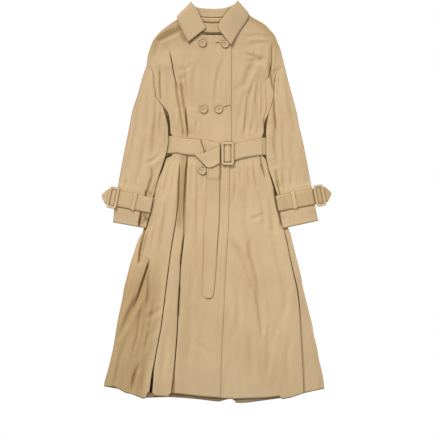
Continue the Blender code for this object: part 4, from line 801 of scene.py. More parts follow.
def sleeve_levels(x, y, edge_distance, side, cuff, creases):
    """Lower and upper outer face of a flattened sleeve."""
    hold = strap_hold(x, y, cuff)
    base = rest_under_sleeve(x, y, side) + STRAP_ROOM * hold
    near = np.clip(edge_distance / SLEEVE_EDGE, 0, 1)
    round_off = SLEEVE_EDGE * np.sqrt(np.maximum(1 - (1 - near) ** 2, 0))
    inner = ease(edge_distance / SLEEVE_FADE)
    swell = np.maximum(SLEEVE_BILLOW * inner + crease_change(x, y, creases) * ease(edge_distance / 8), 0.0)
    swell = swell * (1 - hold) + np.minimum(swell, SLEEVE_PRESSED * inner) * hold
    return base + SLEEVE_EDGE - round_off, base + SLEEVE_EDGE + round_off + swell


def belt_under(x):
    """Lower face of the belt where it lies on the fronts."""
    x = np.asarray(x, dtype=float)
    near_side = np.minimum(x - BELT_LEFT_TURN, BELT_RIGHT_TURN - x)
    over = grow(x, BELT_CLIMB) * (1 - grow(x, BELT_DESCENT))
    swell = BELT_PRESSED * ease(near_side / 55)
    pressed = (STRAP + GAP) + 2 * CLOTH + PANEL_GAP + swell + OVERLAP_RISE * over
    bar = np.exp(-((x - BELT_BUCKLE["x"]) / BAR_REACH) ** 4) * BAR_LIFT
    return pressed + GAP + bar


def belt_turn(side):
    """The belt's outer face round the coat's side: down the side, out in a flat fold and back under."""
    turn = BELT_LEFT_TURN if side < 0 else BELT_RIGHT_TURN
    end = float(look_up(BELOW_SLEEVES, SIDES[side], BELT_BACK_Y))
    high = float(belt_under(turn - side * 9.0)) + STRAP
    return [(turn - side * 8.5, high), (turn - side * 3.5, high - 0.5), (turn - side * 0.8, high - 1.7),
            (turn + side * 1.2, BELT_LIP + 0.5), (turn + side * 4.0, BELT_LIP), (end - side * 5.0, BELT_LIP),
            (end - side * 1.5, BELT_LIP - 0.4), (end, BELT_LIP / 2), (end - side * 1.5, 0.4),
            (end - side * 5.0, 0.0)]


def over_belt(x):
    """Where a strap lies that passes over the belt: its lower face."""
    return float(belt_under(min(x, 8.0))) + STRAP + GAP


def tail_under(x, y):
    """Lower face of the hanging belt end."""
    line = float(look_up(BELT_LINE, "y", x))
    on_front = front_top(x, y) + TAIL_CLEAR
    share = float(grow(line - BELT_WIDTH / 2 - y, TAIL_OFF_BELT))
    button = BUTTONS["button_low_right"]
    over_button = front_top(*button) + BUTTON_THICK + 2 * GAP + 0.3
    share_button = 1.0 - float(grow(math.hypot(x - button[0], y - button[1]), TAIL_OFF_BUTTON))
    height = over_belt(x) + (on_front - over_belt(x)) * share
    height = max(height, height + (over_button - height) * share_button)
    tucked = float(grow(y - line - BELT_WIDTH / 2, TAIL_TUCK))
    return max(height - TAIL_TUCK_DROP * tucked, on_front)


def button_seat(x, y):
    """Height at which a button's flat back clears the cloth below it."""
    ring = [(x, y)] + [(x + BUTTON_RING * c, y + BUTTON_RING * s) for c, s in circle(12)]
    return max(front_top(px, py) for px, py in ring) + GAP


def cuff_point(cuff, along, across=0.0):
    """A place in the coat's frame from one along and across a cuff strap, from its buckle's middle."""
    angle = math.radians(cuff["turn"])
    along *= cuff["side"]
    return (cuff["x"] + along * math.cos(angle) - across * math.sin(angle),
            cuff["y"] + along * math.sin(angle) + across * math.cos(angle))


def cuff_rest(x, y, cuff):
    return float(rest_under_sleeve(np.array([float(x)]), np.array([float(y)]), -cuff["side"])[0])


def cuff_top(x, y, cuff):
    """Upper face of the sleeve below the strap."""
    return cuff_rest(x, y, cuff) + STRAP_ROOM + 2 * SLEEVE_EDGE + 0.95


def new_object(name, data, finish=None):
    """An object in the scene, with one finish and smooth faces where it is a mesh."""
    if finish:
        data.materials.append(finish)
        data.shade_smooth()
    item = bpy.data.objects.new(name, data)
    bpy.context.scene.collection.objects.link(item)
    return item


def add_cloth(node, ending, grid, wall, finish, ring=False, shade=None):
    """A cloth wall below a fine grid of points; a ring joins the last row to the first. shade is painted
    shade kept on the points.
    """
    grid = np.asarray(grid, dtype=float) + LAY
    rows, columns = grid.shape[:2]
    j = np.arange(rows if ring else rows - 1)[:, None]
    i = np.arange(columns - 1)[None, :]
    k = (j + 1) % rows
    faces = np.stack([j * columns + i, k * columns + i, k * columns + i + 1, j * columns + i + 1], axis=-1)
    name = f"{node}_{ending}" if ending else node
    data = bpy.data.meshes.new(name)
    data.from_pydata((grid.reshape(-1, 3) * MM).tolist(), [], faces.reshape(-1, 4).tolist())
    if shade is not None:
        layer = data.attributes.new("shade", "FLOAT", "POINT")
        layer.data.foreach_set("value", np.asarray(shade, dtype=np.float32).ravel())
    item = new_object(name, data, finish)
    solid = item.modifiers.new("wall", "SOLIDIFY")
    solid.thickness = wall * MM
    solid.offset = -1.0
    solid.use_quality_normals = True
    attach(item, "root")
    if ending:
        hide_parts(node)


def refine(rows, spacing):
    """Stations close together on a smooth line through a few."""
    rows = np.asarray(rows, dtype=float)
    along = run_along((rows[:, :3] + rows[:, 3:6]) / 2, 0.05)
    at = [along[:1]]
    for start, end in zip(along[:-1], along[1:]):
        count = max(2, math.ceil((end - start) / spacing))
        at.append(start + (end - start) * np.arange(1, count + 1) / count)
    at = np.concatenate(at)
    return np.stack([smooth(at, along, rows[:, c]) for c in range(rows.shape[1])], axis=1)


def ribbon_grid(stations, across, bow=0.0, pad=0.0, ridge=0.0):
    """A strip between two edges. pad rounds it over from edge to edge, and ridge sinks its seams."""
    share = np.linspace(0, 1, across)
    grid = []
    for station in stations:
        first, last = station[:3], station[3:6]
        line = first + (last - first) * share[:, None]
        lift = station[6] if len(station) > 6 else 1.0
        line[:, 2] += bow * lift * np.sin(math.pi * share)
        if pad:
            edge = np.minimum(share, 1 - share) * float(np.linalg.norm(last - first))
            facing = np.clip((line[:, 2] - 2.0) / 2.0, -1.0, 1.0)
            line[:, 2] -= facing * (pad * np.exp(-edge / 1.2) + ridge * bell(edge - 4.0, 0.8))
        grid.append(line)
    return np.array(grid)


def fold_line(fold, y, room_left, room_right):
    """Offsets and kept shares across a deep fold at one height, left to right."""
    gap = float(look_up(fold, "gap", y))
    crisp = float(ease((pressed_depth(fold, y) - FOLD_SOFT_BELOW) / FOLD_CRISP_RUN))
    shape = CRISP + np.stack([LIP_STEPS * gap, np.zeros(6)], axis=1)
    half = crisp * shape + (1 - crisp) * SOFT
    offset, share = (smooth(FOLD_STEPS, np.arange(6.0), half[:, k]) for k in (0, 1))
    sides = []
    for side, room in ((-1, room_left), (1, room_right)):
        fit = min(1.0, FOLD_ROOM * room / CRISP[0, 0])
        near = fit + (min(1.0, 1.6 * fit) - fit) * ease((FOLD_STEPS - 1.0) / 1.5) * crisp
        sides.append(side * offset * near)
    return np.concatenate([sides[0], [0.0], sides[1][::-1]]), np.concatenate([share, [0.0], share[::-1]])


def body_gap(side, y, piece):
    """How far a front's side or a sleeve stands back where a gap opens between them."""
    return np.interp(y, *SIDE_GAPS[side, piece])


def front_row(over, y):
    """Places across a front at one height, with the share, the depth and the painted shade tone of its deep
    folds there.
    """
    edge = OVER_EDGE if over else UNDER_EDGE
    side_left, side_right = float(look_up(BODY, "left", y)), float(look_up(BODY, "right", y))
    free = float(np.interp(y, edge["y"], edge["x"]))
    start = side_left + SEAM_INSET + body_gap(-1, y, "front") if over else free
    end = free - EDGE_BAND[0] if over else side_right - SEAM_INSET - body_gap(1, y, "front")
    margin = min(SIDE_ROOM[0] * (end - start), SIDE_ROOM[1])
    first_fold, second_fold = FRONT_FOLDS[over]
    first_guide = float(np.clip(look_up(first_fold, "x", y), start + margin, end - 2 * margin))
    second_guide = float(np.clip(look_up(second_fold, "x", y), first_guide + margin, end - margin))
    stops = [start, first_guide, second_guide, end]
    counts = BETWEEN_FOLDS[over]
    parts = [(np.array([start]), 1.0, 0.0, 0.0)]
    for k, fold in enumerate(FRONT_FOLDS[over]):
        offsets, kept = fold_line(fold, y, stops[k + 1] - stops[k], stops[k + 2] - stops[k + 1])
        last, target = parts[-1][0][-1], stops[k + 1] + offsets[0]
        flat = last + (target - last) * np.arange(1, counts[k] + 1) / (counts[k] + 1)
        tone = float(np.interp(y, *FOLD_TONES[over][k]))
        depth = pressed_depth(fold, y) * (SHALLOWEST + (1 - SHALLOWEST) * tone)
        parts += [(flat, 1.0, 0.0, 0.0), (stops[k + 1] + offsets, kept, depth, tone)]
    last, count = parts[-1][0][-1], counts[2] + 1
    band = free - np.array(EDGE_BAND[1:]) if over else np.array([])
    flat = np.concatenate([last + (end - last) * np.arange(1, count + 1) / count, band])
    parts.append((flat, 1.0, 0.0, 0.0))
    return [np.concatenate([np.broadcast_to(part[k], part[0].shape) for part in parts]) for k in range(4)]


def relief(x, y):
    """Fine creases and unevenness of the fronts, which fade where another piece lies on them."""
    held = bell(x + 14, 26.0) * (y < 190)
    wave = 0.4 * ripple(x, y, 1, 52, 230) + 0.2 * ripple(x, y, 7, 21, 90)
    off_fold = np.where(x < 0, look_up(LEFT_OUTER_FOLD, "x", y) - x, x - look_up(RIGHT_OUTER_FOLD, "x", y))
    swell = SKIRT_SWELL * grow(off_fold, SWELL_ACROSS) * grow(-y, SWELL_DOWN) * ease(inset(x, y) / 26)
    fine = FINE_STRENGTH * crease_relief(x, y, FRONT_FINE) + wave + swell
    return fine * (1 - 0.9 * held) * ease(inset(x, y) / 12) * (1 - 0.8 * belt_grip(y))


def front_grid(over, step):
    """Points of a front, row by row from the neck to the hem, and the painted shade at each."""
    hem = OVER_HEM if over else UNDER_HEM
    even = {round(float(y), 2) for y in np.arange(-sum(FRONT_HEM_BEND), FRONT_EXTRA_ROWS[0], step)}
    heights = sorted(even.union(FRONT_EXTRA_ROWS), reverse=True)
    rows = [front_row(over, y) for y in heights]
    xs, shares, depths, tones = (np.array([row[k] for row in rows]) for k in range(4))
    ys = np.repeat(np.array(heights)[:, None], xs.shape[1], axis=1)
    ys = ys + (np.interp(xs, hem["x"], hem["y"]) + sum(FRONT_HEM_BEND)) * grow(-ys, FRONT_HEM_BEND)
    cut = depths * (1 - shares)
    height = np.maximum(loft(xs, ys, FRONT_FOLDS[over]) + relief(xs, ys) - cut, 0.0)
    shade = tones * ease((cut - 2.0) / 3.0) * ease((0.5 - shares) / 0.4)
    shade = np.maximum(shade, line_shade(xs, ys, OVER_SHADE_LINES if over else UNDER_SHADE_LINES))
    if over:
        off_edge = xs[:, -1:] - xs
        height -= STITCH_DIP * sum(bell(off_edge - line, STITCH_REACH) for line in EDGE_STITCHES)
        height -= EDGE_DROP * np.exp(-off_edge / STITCH_REACH)
        lean = grow(look_up(LEFT_OUTER_FOLD, "x", ys) - xs, LEAN_ACROSS) * grow(-ys, LEAN_DOWN)
        shade = np.maximum(shade, LEAN_SHADE * lean)
    shoulder = grow(ys, SHOULDER_UP) * ease((SHOULDER_REACH - inset(xs, ys)) / SHOULDER_REACH)
    shade = np.maximum(shade, SHOULDER_SHADE * shoulder)
    return np.stack([xs, ys, low_level(xs, ys, over) + height], axis=2), shade


def back_grid():
    """Points of the back panel from the neck to the hem, and the painted shade at each."""
    bottom = -sum(BACK_HEM_BEND)
    heights = [*np.arange(NECK_TOP, NECK_BASE, -3.8), *np.arange(494, bottom + 4, -6.0),
               *BACK_EXTRA_ROWS, bottom]
    grid = []
    for y in sorted(heights, reverse=True):
        neck = float(ease((y - NECK_BASE) / (NECK_TOP - NECK_BASE)))
        left, right = back_side(-1, y) + 1.0, back_side(1, y) - 1.0
        xs = left + (right - left) * np.linspace(0, 1, 101)
        reach = np.clip(np.abs(xs - NECK_X) / NECK_HALF, 0, 1)
        ys = y + neck * NECK_RISE * (reach ** 3 - 1)
        if y < -BACK_HEM_BEND[0]:
            ys = ys + (np.interp(xs, BACK_HEM["x"], BACK_HEM["y"]) - bottom) * grow(-y, BACK_HEM_BEND)
        grid.append(np.stack([xs, ys, back_lift(ys) + CLOTH], axis=1))
    grid = np.array(grid)
    xs, ys = grid[..., 0], grid[..., 1]
    open_there = ease((ys + 95) / 20) * ease((300 - ys) / 20)
    shade = line_shade(xs, ys, BAND_SHADE_LINE)
    for side, name in SIDES.items():
        beyond = side * (xs - look_up(BODY, name, ys))
        in_gap = ease((beyond + 34) / 10) * ease((26 - beyond) / 10)
        shade = np.maximum(shade, GAP_SHADE * open_there * in_gap)
    return grid, shade


def sleeve_grid(sections, creases, fine, dark, side, cuff):
    """Ring of points round a flattened sleeve at each step down the arm, and the painted shade at each."""
    even = np.arange(0.0, SLEEVE_STEPS + 0.001, 0.1)
    steps = np.sort(np.concatenate([even, CUFF_STITCH + CUFF_STITCH_REACH * np.array([-1, 0, 1])]))
    heights = np.linspace(*ARMHOLE, 40)
    seam = look_up(BODY, SIDES[side], heights) + side * (SLEEVE_INSET + body_gap(side, heights, "sleeve"))
    places, spans = [], []
    for step in steps:
        ox, oy, ix, iy = (float(look_up(sections, key, step)) for key in ("ox", "oy", "ix", "iy"))
        ix += side * float(body_gap(side, iy, "sleeve"))
        width = math.hypot(ix - ox, iy - oy)
        low = np.minimum(EDGE_STEPS / width, 0.36)
        high = np.maximum(1 - EDGE_STEPS[::-1] / width, 0.72)
        share = np.concatenate([low, np.linspace(0.37, 0.7, 14), high])
        xs, ys = ox + (ix - ox) * share, oy + (iy - oy) * share
        if step == 0:
            curve = share, np.interp(ys, heights, seam) - xs
        xs = xs + np.interp(share, *curve) * (1 - float(ease(step / 4)))
        places.append((xs, ys))
        spans.append(np.minimum(share, 1 - share) * width)
    xs, ys = (np.array([place[k] for place in places]) for k in (0, 1))
    distance = np.array(spans)
    lower, upper = sleeve_levels(xs, ys, distance, side, cuff, creases)
    wave = 0.4 * ripple(xs, ys, 4 + side, 26, 120) + 0.2 * ripple(xs, ys, 9 + side, 12, 60)
    wave = wave + FINE_STRENGTH * crease_relief(xs, ys, fine)
    wave = wave * ease(distance / 12) * (1 - strap_hold(xs, ys, cuff))
    seam_dip = SEAM_DIP * SLEEVE_BILLOW * np.exp(-steps[:, None] / 0.35) * ease(distance / 14)
    stitch_dip = STITCH_DIP * bell(steps[:, None] - CUFF_STITCH, CUFF_STITCH_REACH) * ease(distance / 3)
    upper = np.maximum(upper + wave - (seam_dip + stitch_dip), lower + 2 * CLOTH + 0.3 * ease(distance / 4))
    top = np.stack([xs, ys, upper], axis=2)
    bottom = np.stack([xs, ys, lower], axis=2)[:, 1:-1][:, ::-1]
    shade = np.concatenate([line_shade(xs, ys, dark), np.zeros_like(bottom[..., 0])], axis=1)
    grid = np.concatenate([top, bottom], axis=1)
    if side < 0:
        grid, shade = grid[:, ::-1], shade[:, ::-1]
    return grid.transpose(1, 0, 2), shade.T


def tape_grid(side):
    """Seam allowance that joins a sleeve to the body, between their layers."""
    heights = np.linspace(*TAPE_RUN, 38)
    middle = look_up(BODY, SIDES[side], heights) + side * 4.5 * ease((298 - heights) / 22)
    level = np.full_like(heights, CLOTH + 0.34)
    return np.array([np.stack([middle + across, heights, level], axis=1)
                     for across in np.linspace(-TAPE_HALF, TAPE_HALF, 5)])


def leaf_stations():
    """Stations of the collar leaf; the seventh value says where it bows, on its upper side."""
    stations = []
    for row in LEAF:
        upper = row[2] > 7
        lies_lower = float(np.interp(row[4], *LEAF_LOWER)) if row[3] > 40 and upper else 0.0
        stations.append(row[:5] + (row[5] - lies_lower, 1.0 if upper else 0.0))
    return stations


def belt_stations():
    """The belt's outer face as stations of two edges: front left, round, under the back, and front right."""
    left = (-22, -32, -38, -40.6, -41.4, -45, -52, -62, -80, -95, -110, -120)
    right = (118, 100, 84, 74, 64, 56, 50, 44, 39, 33, 27, 21.5, 16, 11.5)
    front_left = [(x, float(belt_under(x)) + STRAP + 1.3 * (x < -41) * float(ease((x + 118) / 50)))
                  for x in left]
    front_right = [(x, float(belt_under(x)) + STRAP) for x in right]
    line = [(x, z, float(look_up(BELT_LINE, "y", x))) for x, z in front_left + belt_turn(-1)]
    line += [(x, 0.0, BELT_BACK_Y) for x in (-125, -80, 0, 80, 125)]
    line += [(x, z, float(look_up(BELT_LINE, "y", x))) for x, z in belt_turn(1)[::-1] + front_right]
    stations = []
    for x, z, y in line:
        half = BELT_WIDTH / 2
        off_buckle = abs(x - BELT_BUCKLE["x"])
        if z > 5 and off_buckle < 22:
            half += 1.9 if off_buckle < 12.5 else -1.2
        half += 2.4 * min(max((abs(x) - 127) / 7, 0.0), 1.0) * (z > 0)
        slant = 5.4 * bell(x + 41, 8) if y > BELT_BACK_Y - 60 and z > 3 else 0.0
        stations.append((x - slant, y + half, z, x + slant, y - half, z))
    return stations


def finer(grid, spacing, across):
    """A grid on smooth lines through a coarse one, rows first."""
    grid = np.asarray(grid, dtype=float)
    along = run_along(grid.mean(axis=1))
    at = np.linspace(0, along[-1], math.ceil(along[-1] / spacing) + 1)
    at = np.unique(np.concatenate([at, along]))
    at = at[np.concatenate(([True], np.diff(at) > 0.05))]
    rows = np.stack([[smooth(at, along, grid[:, c, k]) for k in range(3)] for c in range(grid.shape[1])])
    share, wide = np.linspace(0, 1, grid.shape[1]), np.linspace(0, 1, across)
    return np.array([np.stack([smooth(wide, share, row[:, k]) for k in range(3)], axis=1)
                     for row in rows.transpose(2, 0, 1)])


def hemmed(grid, first=0.3, last=0.3, ridge=0.25):
    """Sinks the two edges and the seam lines of a strip."""
    for row in grid:
        along = run_along(row)
        rest = along[-1] - along
        row[:, 2] -= first * np.exp(-along / 1.5) + last * np.exp(-rest / 1.5)
        row[:, 2] -= ridge * bell(np.minimum(along, rest) - 4.0, 0.9)
    return grid


def across_steps(steps, height):
    """Five places across each step of a strip, from edge to edge, with a height worked out at each."""
    rows = []
    for ux, uy, lx, ly, *more in steps:
        places = [(ux + (lx - ux) * share, uy + (ly - uy) * share) for share in np.linspace(0, 1, 5)]
        rows.append([(x, y, height(x, y, *more)) for x, y in places])
    return rows


def tail_height(x, y):
    return tail_under(x, y) + TAIL_WALL + 0.1


def knot_height(x, y, rise):
    """Upper face of the half knot's wrap, which lies on the belt and then on the hanging end."""
    height = over_belt(x) + rise - 0.3
    if x > -40:
        height = max(height, tail_under(max(x, -34.0), y) + STRAP + GAP + 0.3)
    return height + STRAP


def cuff_strap_stations(cuff):
    """From the buckle's crossbar under the sleeve, round its inner edge and back through the buckle."""
    turn, edge, seat, radius = cuff["inner"], cuff["edge"], cuff["seat"], 5.0
    start = max(seat - GAP - STRAP, 0.0)
    # along the strap, level, how much of the way from under the sleeve to over it, width
    path = [(-2.4, start, 0.0, 1.0), (edge - 5.5, start * 0.75, 0.0, 1.0), (edge - 0.3, 0.15, 0.0, 1.0)]
    path += [(along, 0.0, 0.0, 1.0) for along in (edge + 3, 60.0, turn - 32, turn - 22, turn - 16, turn - 11)]
    for angle in math.pi * np.arange(7) / 6:
        path.append((turn - radius + radius * math.sin(angle), 0.0, 0.5 - 0.5 * math.cos(angle), 1.0))
    path += [(along, 0.0, 1.0, 1.0)
             for along in (turn - 11, turn - 16, turn - 22, turn - 32, 60, 42, edge + 12)]
    if edge > 15:
        path += [(edge + 6, 0.0, 1.0, 1.0), (edge + 2.1, 0.0, 1.0, 1.0), (edge, seat + 6.6, None, 1.0),
                 (edge - 2.8, seat + 4.5, None, 1.0)]
    for along, local, width in ((15.8, 2.1, 1.0), (8.2, 2.1, 1.0), (2.9, 4.3, 1.09), (-2.9, 4.3, 1.09),
                                (-8.2, 2.1, 1.03), (-15.8, 2.1, 1.0), (-20.0, 2.1, 0.96), (-27.0, 2.1, 0.62),
                                (-35.0, 1.8, 0.16)):
        path.append((along, seat + local + cuff["tilt"] * along, None, width))
    stations = []
    for along, level, over, width in path:
        ends = []
        for way in (cuff["side"], -cuff["side"]):
            x, y = cuff_point(cuff, along, way * width * CUFF_STRAP_WIDTH / 2)
            z = level
            if over is not None:
                under = cuff_rest(x, y, cuff)
                z += under + over * (cuff_top(x, y, cuff) + GAP + STRAP - under)
            ends.append((x, y, z))
        stations.append(ends[0] + ends[1])
    return stations


def keeper_grid(cuff):
    """Loop of cloth over a cuff strap, sewn to the sleeve by a flange on each side."""
    half, along = CUFF_STRAP_WIDTH / 2, cuff["keeper"]
    low = cuff_top(*cuff_point(cuff, along), cuff) + 0.1
    high = low + STRAP + GAP + 1.5
    profile = [(half + 5, low + 1.3), (half + 3.6, low + 1.3), (half + 2.6, low + 2.0),
               (half + 1.9, high - 1.2), (half + 0.2, high), (half - 8, high + 0.1), (0, high + 0.1)]
    profile = profile + [(-across, z) for across, z in profile[-2::-1]]
    rows = []
    for offset in np.linspace(-KEEPER_WIDTH / 2, KEEPER_WIDTH / 2, 9):
        off_edge = KEEPER_WIDTH / 2 - abs(offset)
        seam = 0.3 * math.exp(-off_edge / 0.8) + 0.2 * bell(off_edge - 2.0, 0.6)
        rows.append([(*cuff_point(cuff, along + offset, across), z - seam) for across, z in profile])
    rows = refine_columns(np.array(rows), 4)
    return rows[::-1] if cuff["side"] > 0 else rows


def refine_columns(grid, per):
    """More columns on a smooth line through those of a grid."""
    count = grid.shape[1]
    along = run_along(grid[0])
    at = np.interp(np.linspace(0, count - 1, (count - 1) * per + 1), np.arange(count), along)
    return np.array([np.stack([smooth(at, along, row[:, c]) for c in range(3)], axis=1) for row in grid])


def place_at(line, along, distance):
    """A place, or several, at a distance along a line of points."""
    return np.stack([np.interp(distance, along, line[:, c]) for c in range(3)], axis=-1)


def surface_line(grid, distance, from_end=False):
    """Points of a grid at a distance from its first or last column, measured along each row."""
    rows = [row[::-1] if from_end else row for row in grid]
    return np.array([place_at(row, run_along(row), distance) for row in rows])


def over_row(grid, off_edge):
    """A line down the over front at a distance from its free edge."""
    return np.array([place_at(row, row[:, 0], row[-1, 0] - off_edge) for row in grid
                     if row[-1, 0] - off_edge > row[-20, 0]])


def over_line(start, end, spacing):
    """A line across the over front between two places, on its upper face."""
    count = max(2, int(math.hypot(end[0] - start[0], end[1] - start[1]) / spacing))
    xs, ys = (np.linspace(start[c], end[c], count) for c in (0, 1))
    zs = low_level(xs, ys, True) + np.maximum(loft(xs, ys, FRONT_FOLDS[True]) + relief(xs, ys), 0.0)
    return np.stack([xs, ys, zs], axis=1)


def stitches(name, lines, finish):
    """Rows of thread: each stitch is a small rounded bar that lies on the cloth."""
    points, faces = [], []
    shape = [(-0.5, 0.0, 0.0), (-0.36, 0.5, 0.3), (-0.36, -0.5, 0.3), (0.36, 0.5, 0.3), (0.36, -0.5, 0.3),
             (0.5, 0.0, 0.0), (-0.3, 0.0, 0.55), (0.3, 0.0, 0.55)]
    pattern = [(0, 2, 6), (0, 6, 1), (1, 6, 7, 3), (6, 2, 4, 7), (3, 7, 5), (7, 4, 5), (0, 1, 3, 5, 4, 2)]
    for line in lines:
        along = run_along(line)
        for middle in np.arange(STITCH_PITCH / 2, along[-1] - STITCH_PITCH / 2, STITCH_PITCH):
            a, m, b = place_at(line, along, middle + STITCH_LENGTH / 2 * np.array([-1, 0, 1]))
            length = max(float(np.linalg.norm(b - a)), 0.1)
            run = (b - a) / length
            side = np.array([-run[1], run[0], 0.0])
            side = side / max(float(np.linalg.norm(side)), 1e-6)
            up = np.cross(run, side)
            up = up * (1 if up[2] >= 0 else -1)
            base = len(points)
            for u, v, w in shape:
                points.append(m + run * u * length + side * v * STITCH_WIDTH + up * (w * STITCH_WIDTH + 0.02))
            faces += [tuple(base + k for k in face) for face in pattern]
    data = bpy.data.meshes.new(name)
    data.from_pydata(((np.array(points) + LAY) * MM).tolist(), [], faces)
    rounded = bmesh.new()
    rounded.from_mesh(data)
    bmesh.ops.recalc_face_normals(rounded, faces=rounded.faces)
    rounded.to_mesh(data)
    rounded.free()
    item = new_object(name, data, finish)
    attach(item, "root")


def mesh_piece(name, mesh, finish, spot, turn=0.0, tilt=0.0):
    """An object from a bmesh in millimetres, set down at a spot."""
    bmesh.ops.recalc_face_normals(mesh, faces=mesh.faces)
    bmesh.ops.scale(mesh, vec=(MM, MM, MM), verts=mesh.verts)
    data = bpy.data.meshes.new(name)
    mesh.to_mesh(data)
    mesh.free()
    item = new_object(name, data, finish)
    data.set_sharp_from_angle(angle=math.radians(50))
    item.location = (np.array(spot) + LAY) * MM
    item.rotation_euler = (0.0, tilt, math.radians(turn))
    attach(item, "root")
    return item


def circle(count):
    """Cosine and sine of evenly spaced angles."""
    return [(math.cos(angle), math.sin(angle)) for angle in 2 * math.pi * np.arange(count) / count]


def squared(value, power):
    """Power of a number that keeps its sign, which makes a circle squarer."""
    return math.copysign(abs(value) ** power, value)


def join_rings(mesh, rings, closed=False):
    """Faces between rings of points. A ring of one point is a pole; closed joins the last to the first."""
    for a, b in zip(rings, rings[1:] + rings[:1] if closed else rings[1:]):
        count = max(len(a), len(b))
        for k in range(count):
            n = (k + 1) % count
            around = [a[k % len(a)], a[n % len(a)], b[n % len(b)], b[k % len(b)]]
            mesh.faces.new(list(dict.fromkeys(around)))


def swept_frame(mesh, width, height, corner, bar, low, high, steps=8):
    """A closed rim with a rounded cross-section, round a rectangle with round corners."""
    rings = []
    for cx, cy, start in ((1, 1, 0), (-1, 1, 90), (-1, -1, 180), (1, -1, 270)):
        for angle in np.radians(start + 90 * np.arange(steps + 1) / steps):
            nx, ny = math.cos(angle), math.sin(angle)
            x = cx * (width / 2 - bar / 2 - corner) + corner * nx
            y = cy * (height / 2 - bar / 2 - corner) + corner * ny
            ring = []
            for c, s in circle(RIM_COUNT):
                out, up = squared(c, 0.55) * bar / 2, squared(s, 0.55) * (high - low) / 2
                ring.append(mesh.verts.new((x + nx * out, y + ny * out, (high + low) / 2 + up)))
            rings.append(ring)
    join_rings(mesh, rings, closed=True)


def rod(mesh, start, end, radius_x, radius_z, sides=14):
    """A rounded bar between two points."""
    start, end = Vector(start), Vector(end)
    run = (end - start).normalized()
    side = run.cross(Vector((0, 0, 1))).normalized()
    up = side.cross(run)
    rings = [[mesh.verts.new(start)]]
    for t, scale in ((0.0, 0.7), (0.02, 1.0), (0.98, 1.0), (1.0, 0.7)):
        middle = start.lerp(end, t)
        rings.append([mesh.verts.new(middle + side * c * radius_x * scale + up * s * radius_z * scale)
                      for c, s in circle(sides)])
    rings.append([mesh.verts.new(end)])
    join_rings(mesh, rings)


def make_buckle(node, buckle, low, finish):
    """Covered frame and crossbar."""
    width, height = buckle["width"], buckle["height"]
    mesh = bmesh.new()
    swept_frame(mesh, width, height, 4.5, BUCKLE_BAR - 0.3, 2.45, 5.7)
    rod(mesh, (0, -height / 2 + 3.5, 1.5), (0, height / 2 - 3.5, 1.5), 2.4, 1.2)
    tilt = -math.atan(buckle.get("tilt", 0.0)) * buckle.get("side", 1)
    spot = (buckle["x"], buckle["y"], low)
    item = mesh_piece(node + "_cover", mesh, finish["cover"], spot, buckle["turn"], tilt)
    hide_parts(node)


def make_button(node, spot, finish):
    """Turned button with a round rim, a dished face and four holes that the thread crosses."""
    outer = BUTTON_DIAMETER / 2
    profile = [(outer - 1.2, 0.0), (outer - 0.35, 0.5), (outer, 1.4), (outer - 0.15, 2.3), (outer - 0.8, 3.1),
               (outer - 1.8, BUTTON_THICK - 0.02), (outer - 3.0, BUTTON_THICK - 0.15), (outer - 4.0, 2.7),
               (outer - 4.8, 1.7), (outer - 5.8, 1.25), (6.4, 1.4), (5.2, 1.9), (4.2, 2.05), (3.4, 1.75),
               (2.6, 1.2)]
    mesh = bmesh.new()
    rings = [[mesh.verts.new((0.0, 0.0, 0.0))]]
    for radius, height in profile:
        rings.append([mesh.verts.new((radius * c, radius * s, height)) for c, s in circle(BUTTON_COUNT)])
    rings.append([mesh.verts.new((0.0, 0.0, 1.05))])
    join_rings(mesh, rings)
    item = mesh_piece(node + "_turned", mesh, finish["button"], spot)
    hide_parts(node)
    thread = bmesh.new()
    for y in (-1.1, 1.1):
        rod(thread, (-1.7, y, 1.5), (1.7, y, 1.5), 0.5, 0.35, 8)
        for x in (-1.9, 1.9):
            rod(thread, (x, y, 0.9), (x, y, 1.5), 0.6, 0.6, 8)
    mesh_piece(node + "_thread", thread, finish["thread"], spot)
    # dark rods painted as the shade inside the four holes
    holes = bmesh.new()
    for x in (-1.9, 1.9):
        for y in (-1.1, 1.1):
            rod(holes, (x, y - 0.9, 1.1), (x, y + 0.9, 1.1), 0.9, 0.12, 10)
    mesh_piece(node + "_holes", holes, finish["shade"], spot)


def make_buttonhole(name, start, end, finish):
    """Worked buttonhole: a slit painted dark as shade, inside a close ring of thread."""
    line = over_line(start, end, 3.0)
    start, end = np.array(start, dtype=float), np.array(end, dtype=float)
    length = float(np.linalg.norm(end - start))
    run = (end - start) / length
    side = np.array([-run[1], run[0]])
    mesh = bmesh.new()
    rings = []
    for k, (c, s) in enumerate(circle(THREAD_COUNT)):
        along = 0.5 + 0.5 * squared(c, 0.35)
        x, y = start + run * length * along + side * 1.35 * squared(s, 0.8)
        z = float(np.interp(along, np.linspace(0, 1, len(line)), line[:, 2]))
        out = run * c + side * s
        size = 0.55 if k % 2 else 0.42
        rings.append([mesh.verts.new((x + out[0] * u * size, y + out[1] * u * size, z + 0.25 + v * size))
                      for u, v in circle(6)])
    join_rings(mesh, rings, closed=True)
    mesh_piece(name, mesh, finish["thread"], (0, 0, 0))
    # dark rod painted as the shade inside the slit
    slit = bmesh.new()
    z = float(line[:, 2].mean()) + 0.1
    rod(slit, (*start, z), (*end, z), 0.7, 0.25, 10)
    mesh_piece(name + "_slit", slit, finish["shade"], (0, 0, 0))


def add_node(tree, kind, inputs, **settings):
    """A shader node. An input is a value, or a socket of another node to link from."""
    made = tree.nodes.new("ShaderNode" + kind)
    for name, value in settings.items():
        setattr(made, name, value)
    for name, value in inputs.items():
        if isinstance(value, bpy.types.NodeSocket):
            tree.links.new(value, made.inputs[name])
        else:
            made.inputs[name].default_value = value
    return made


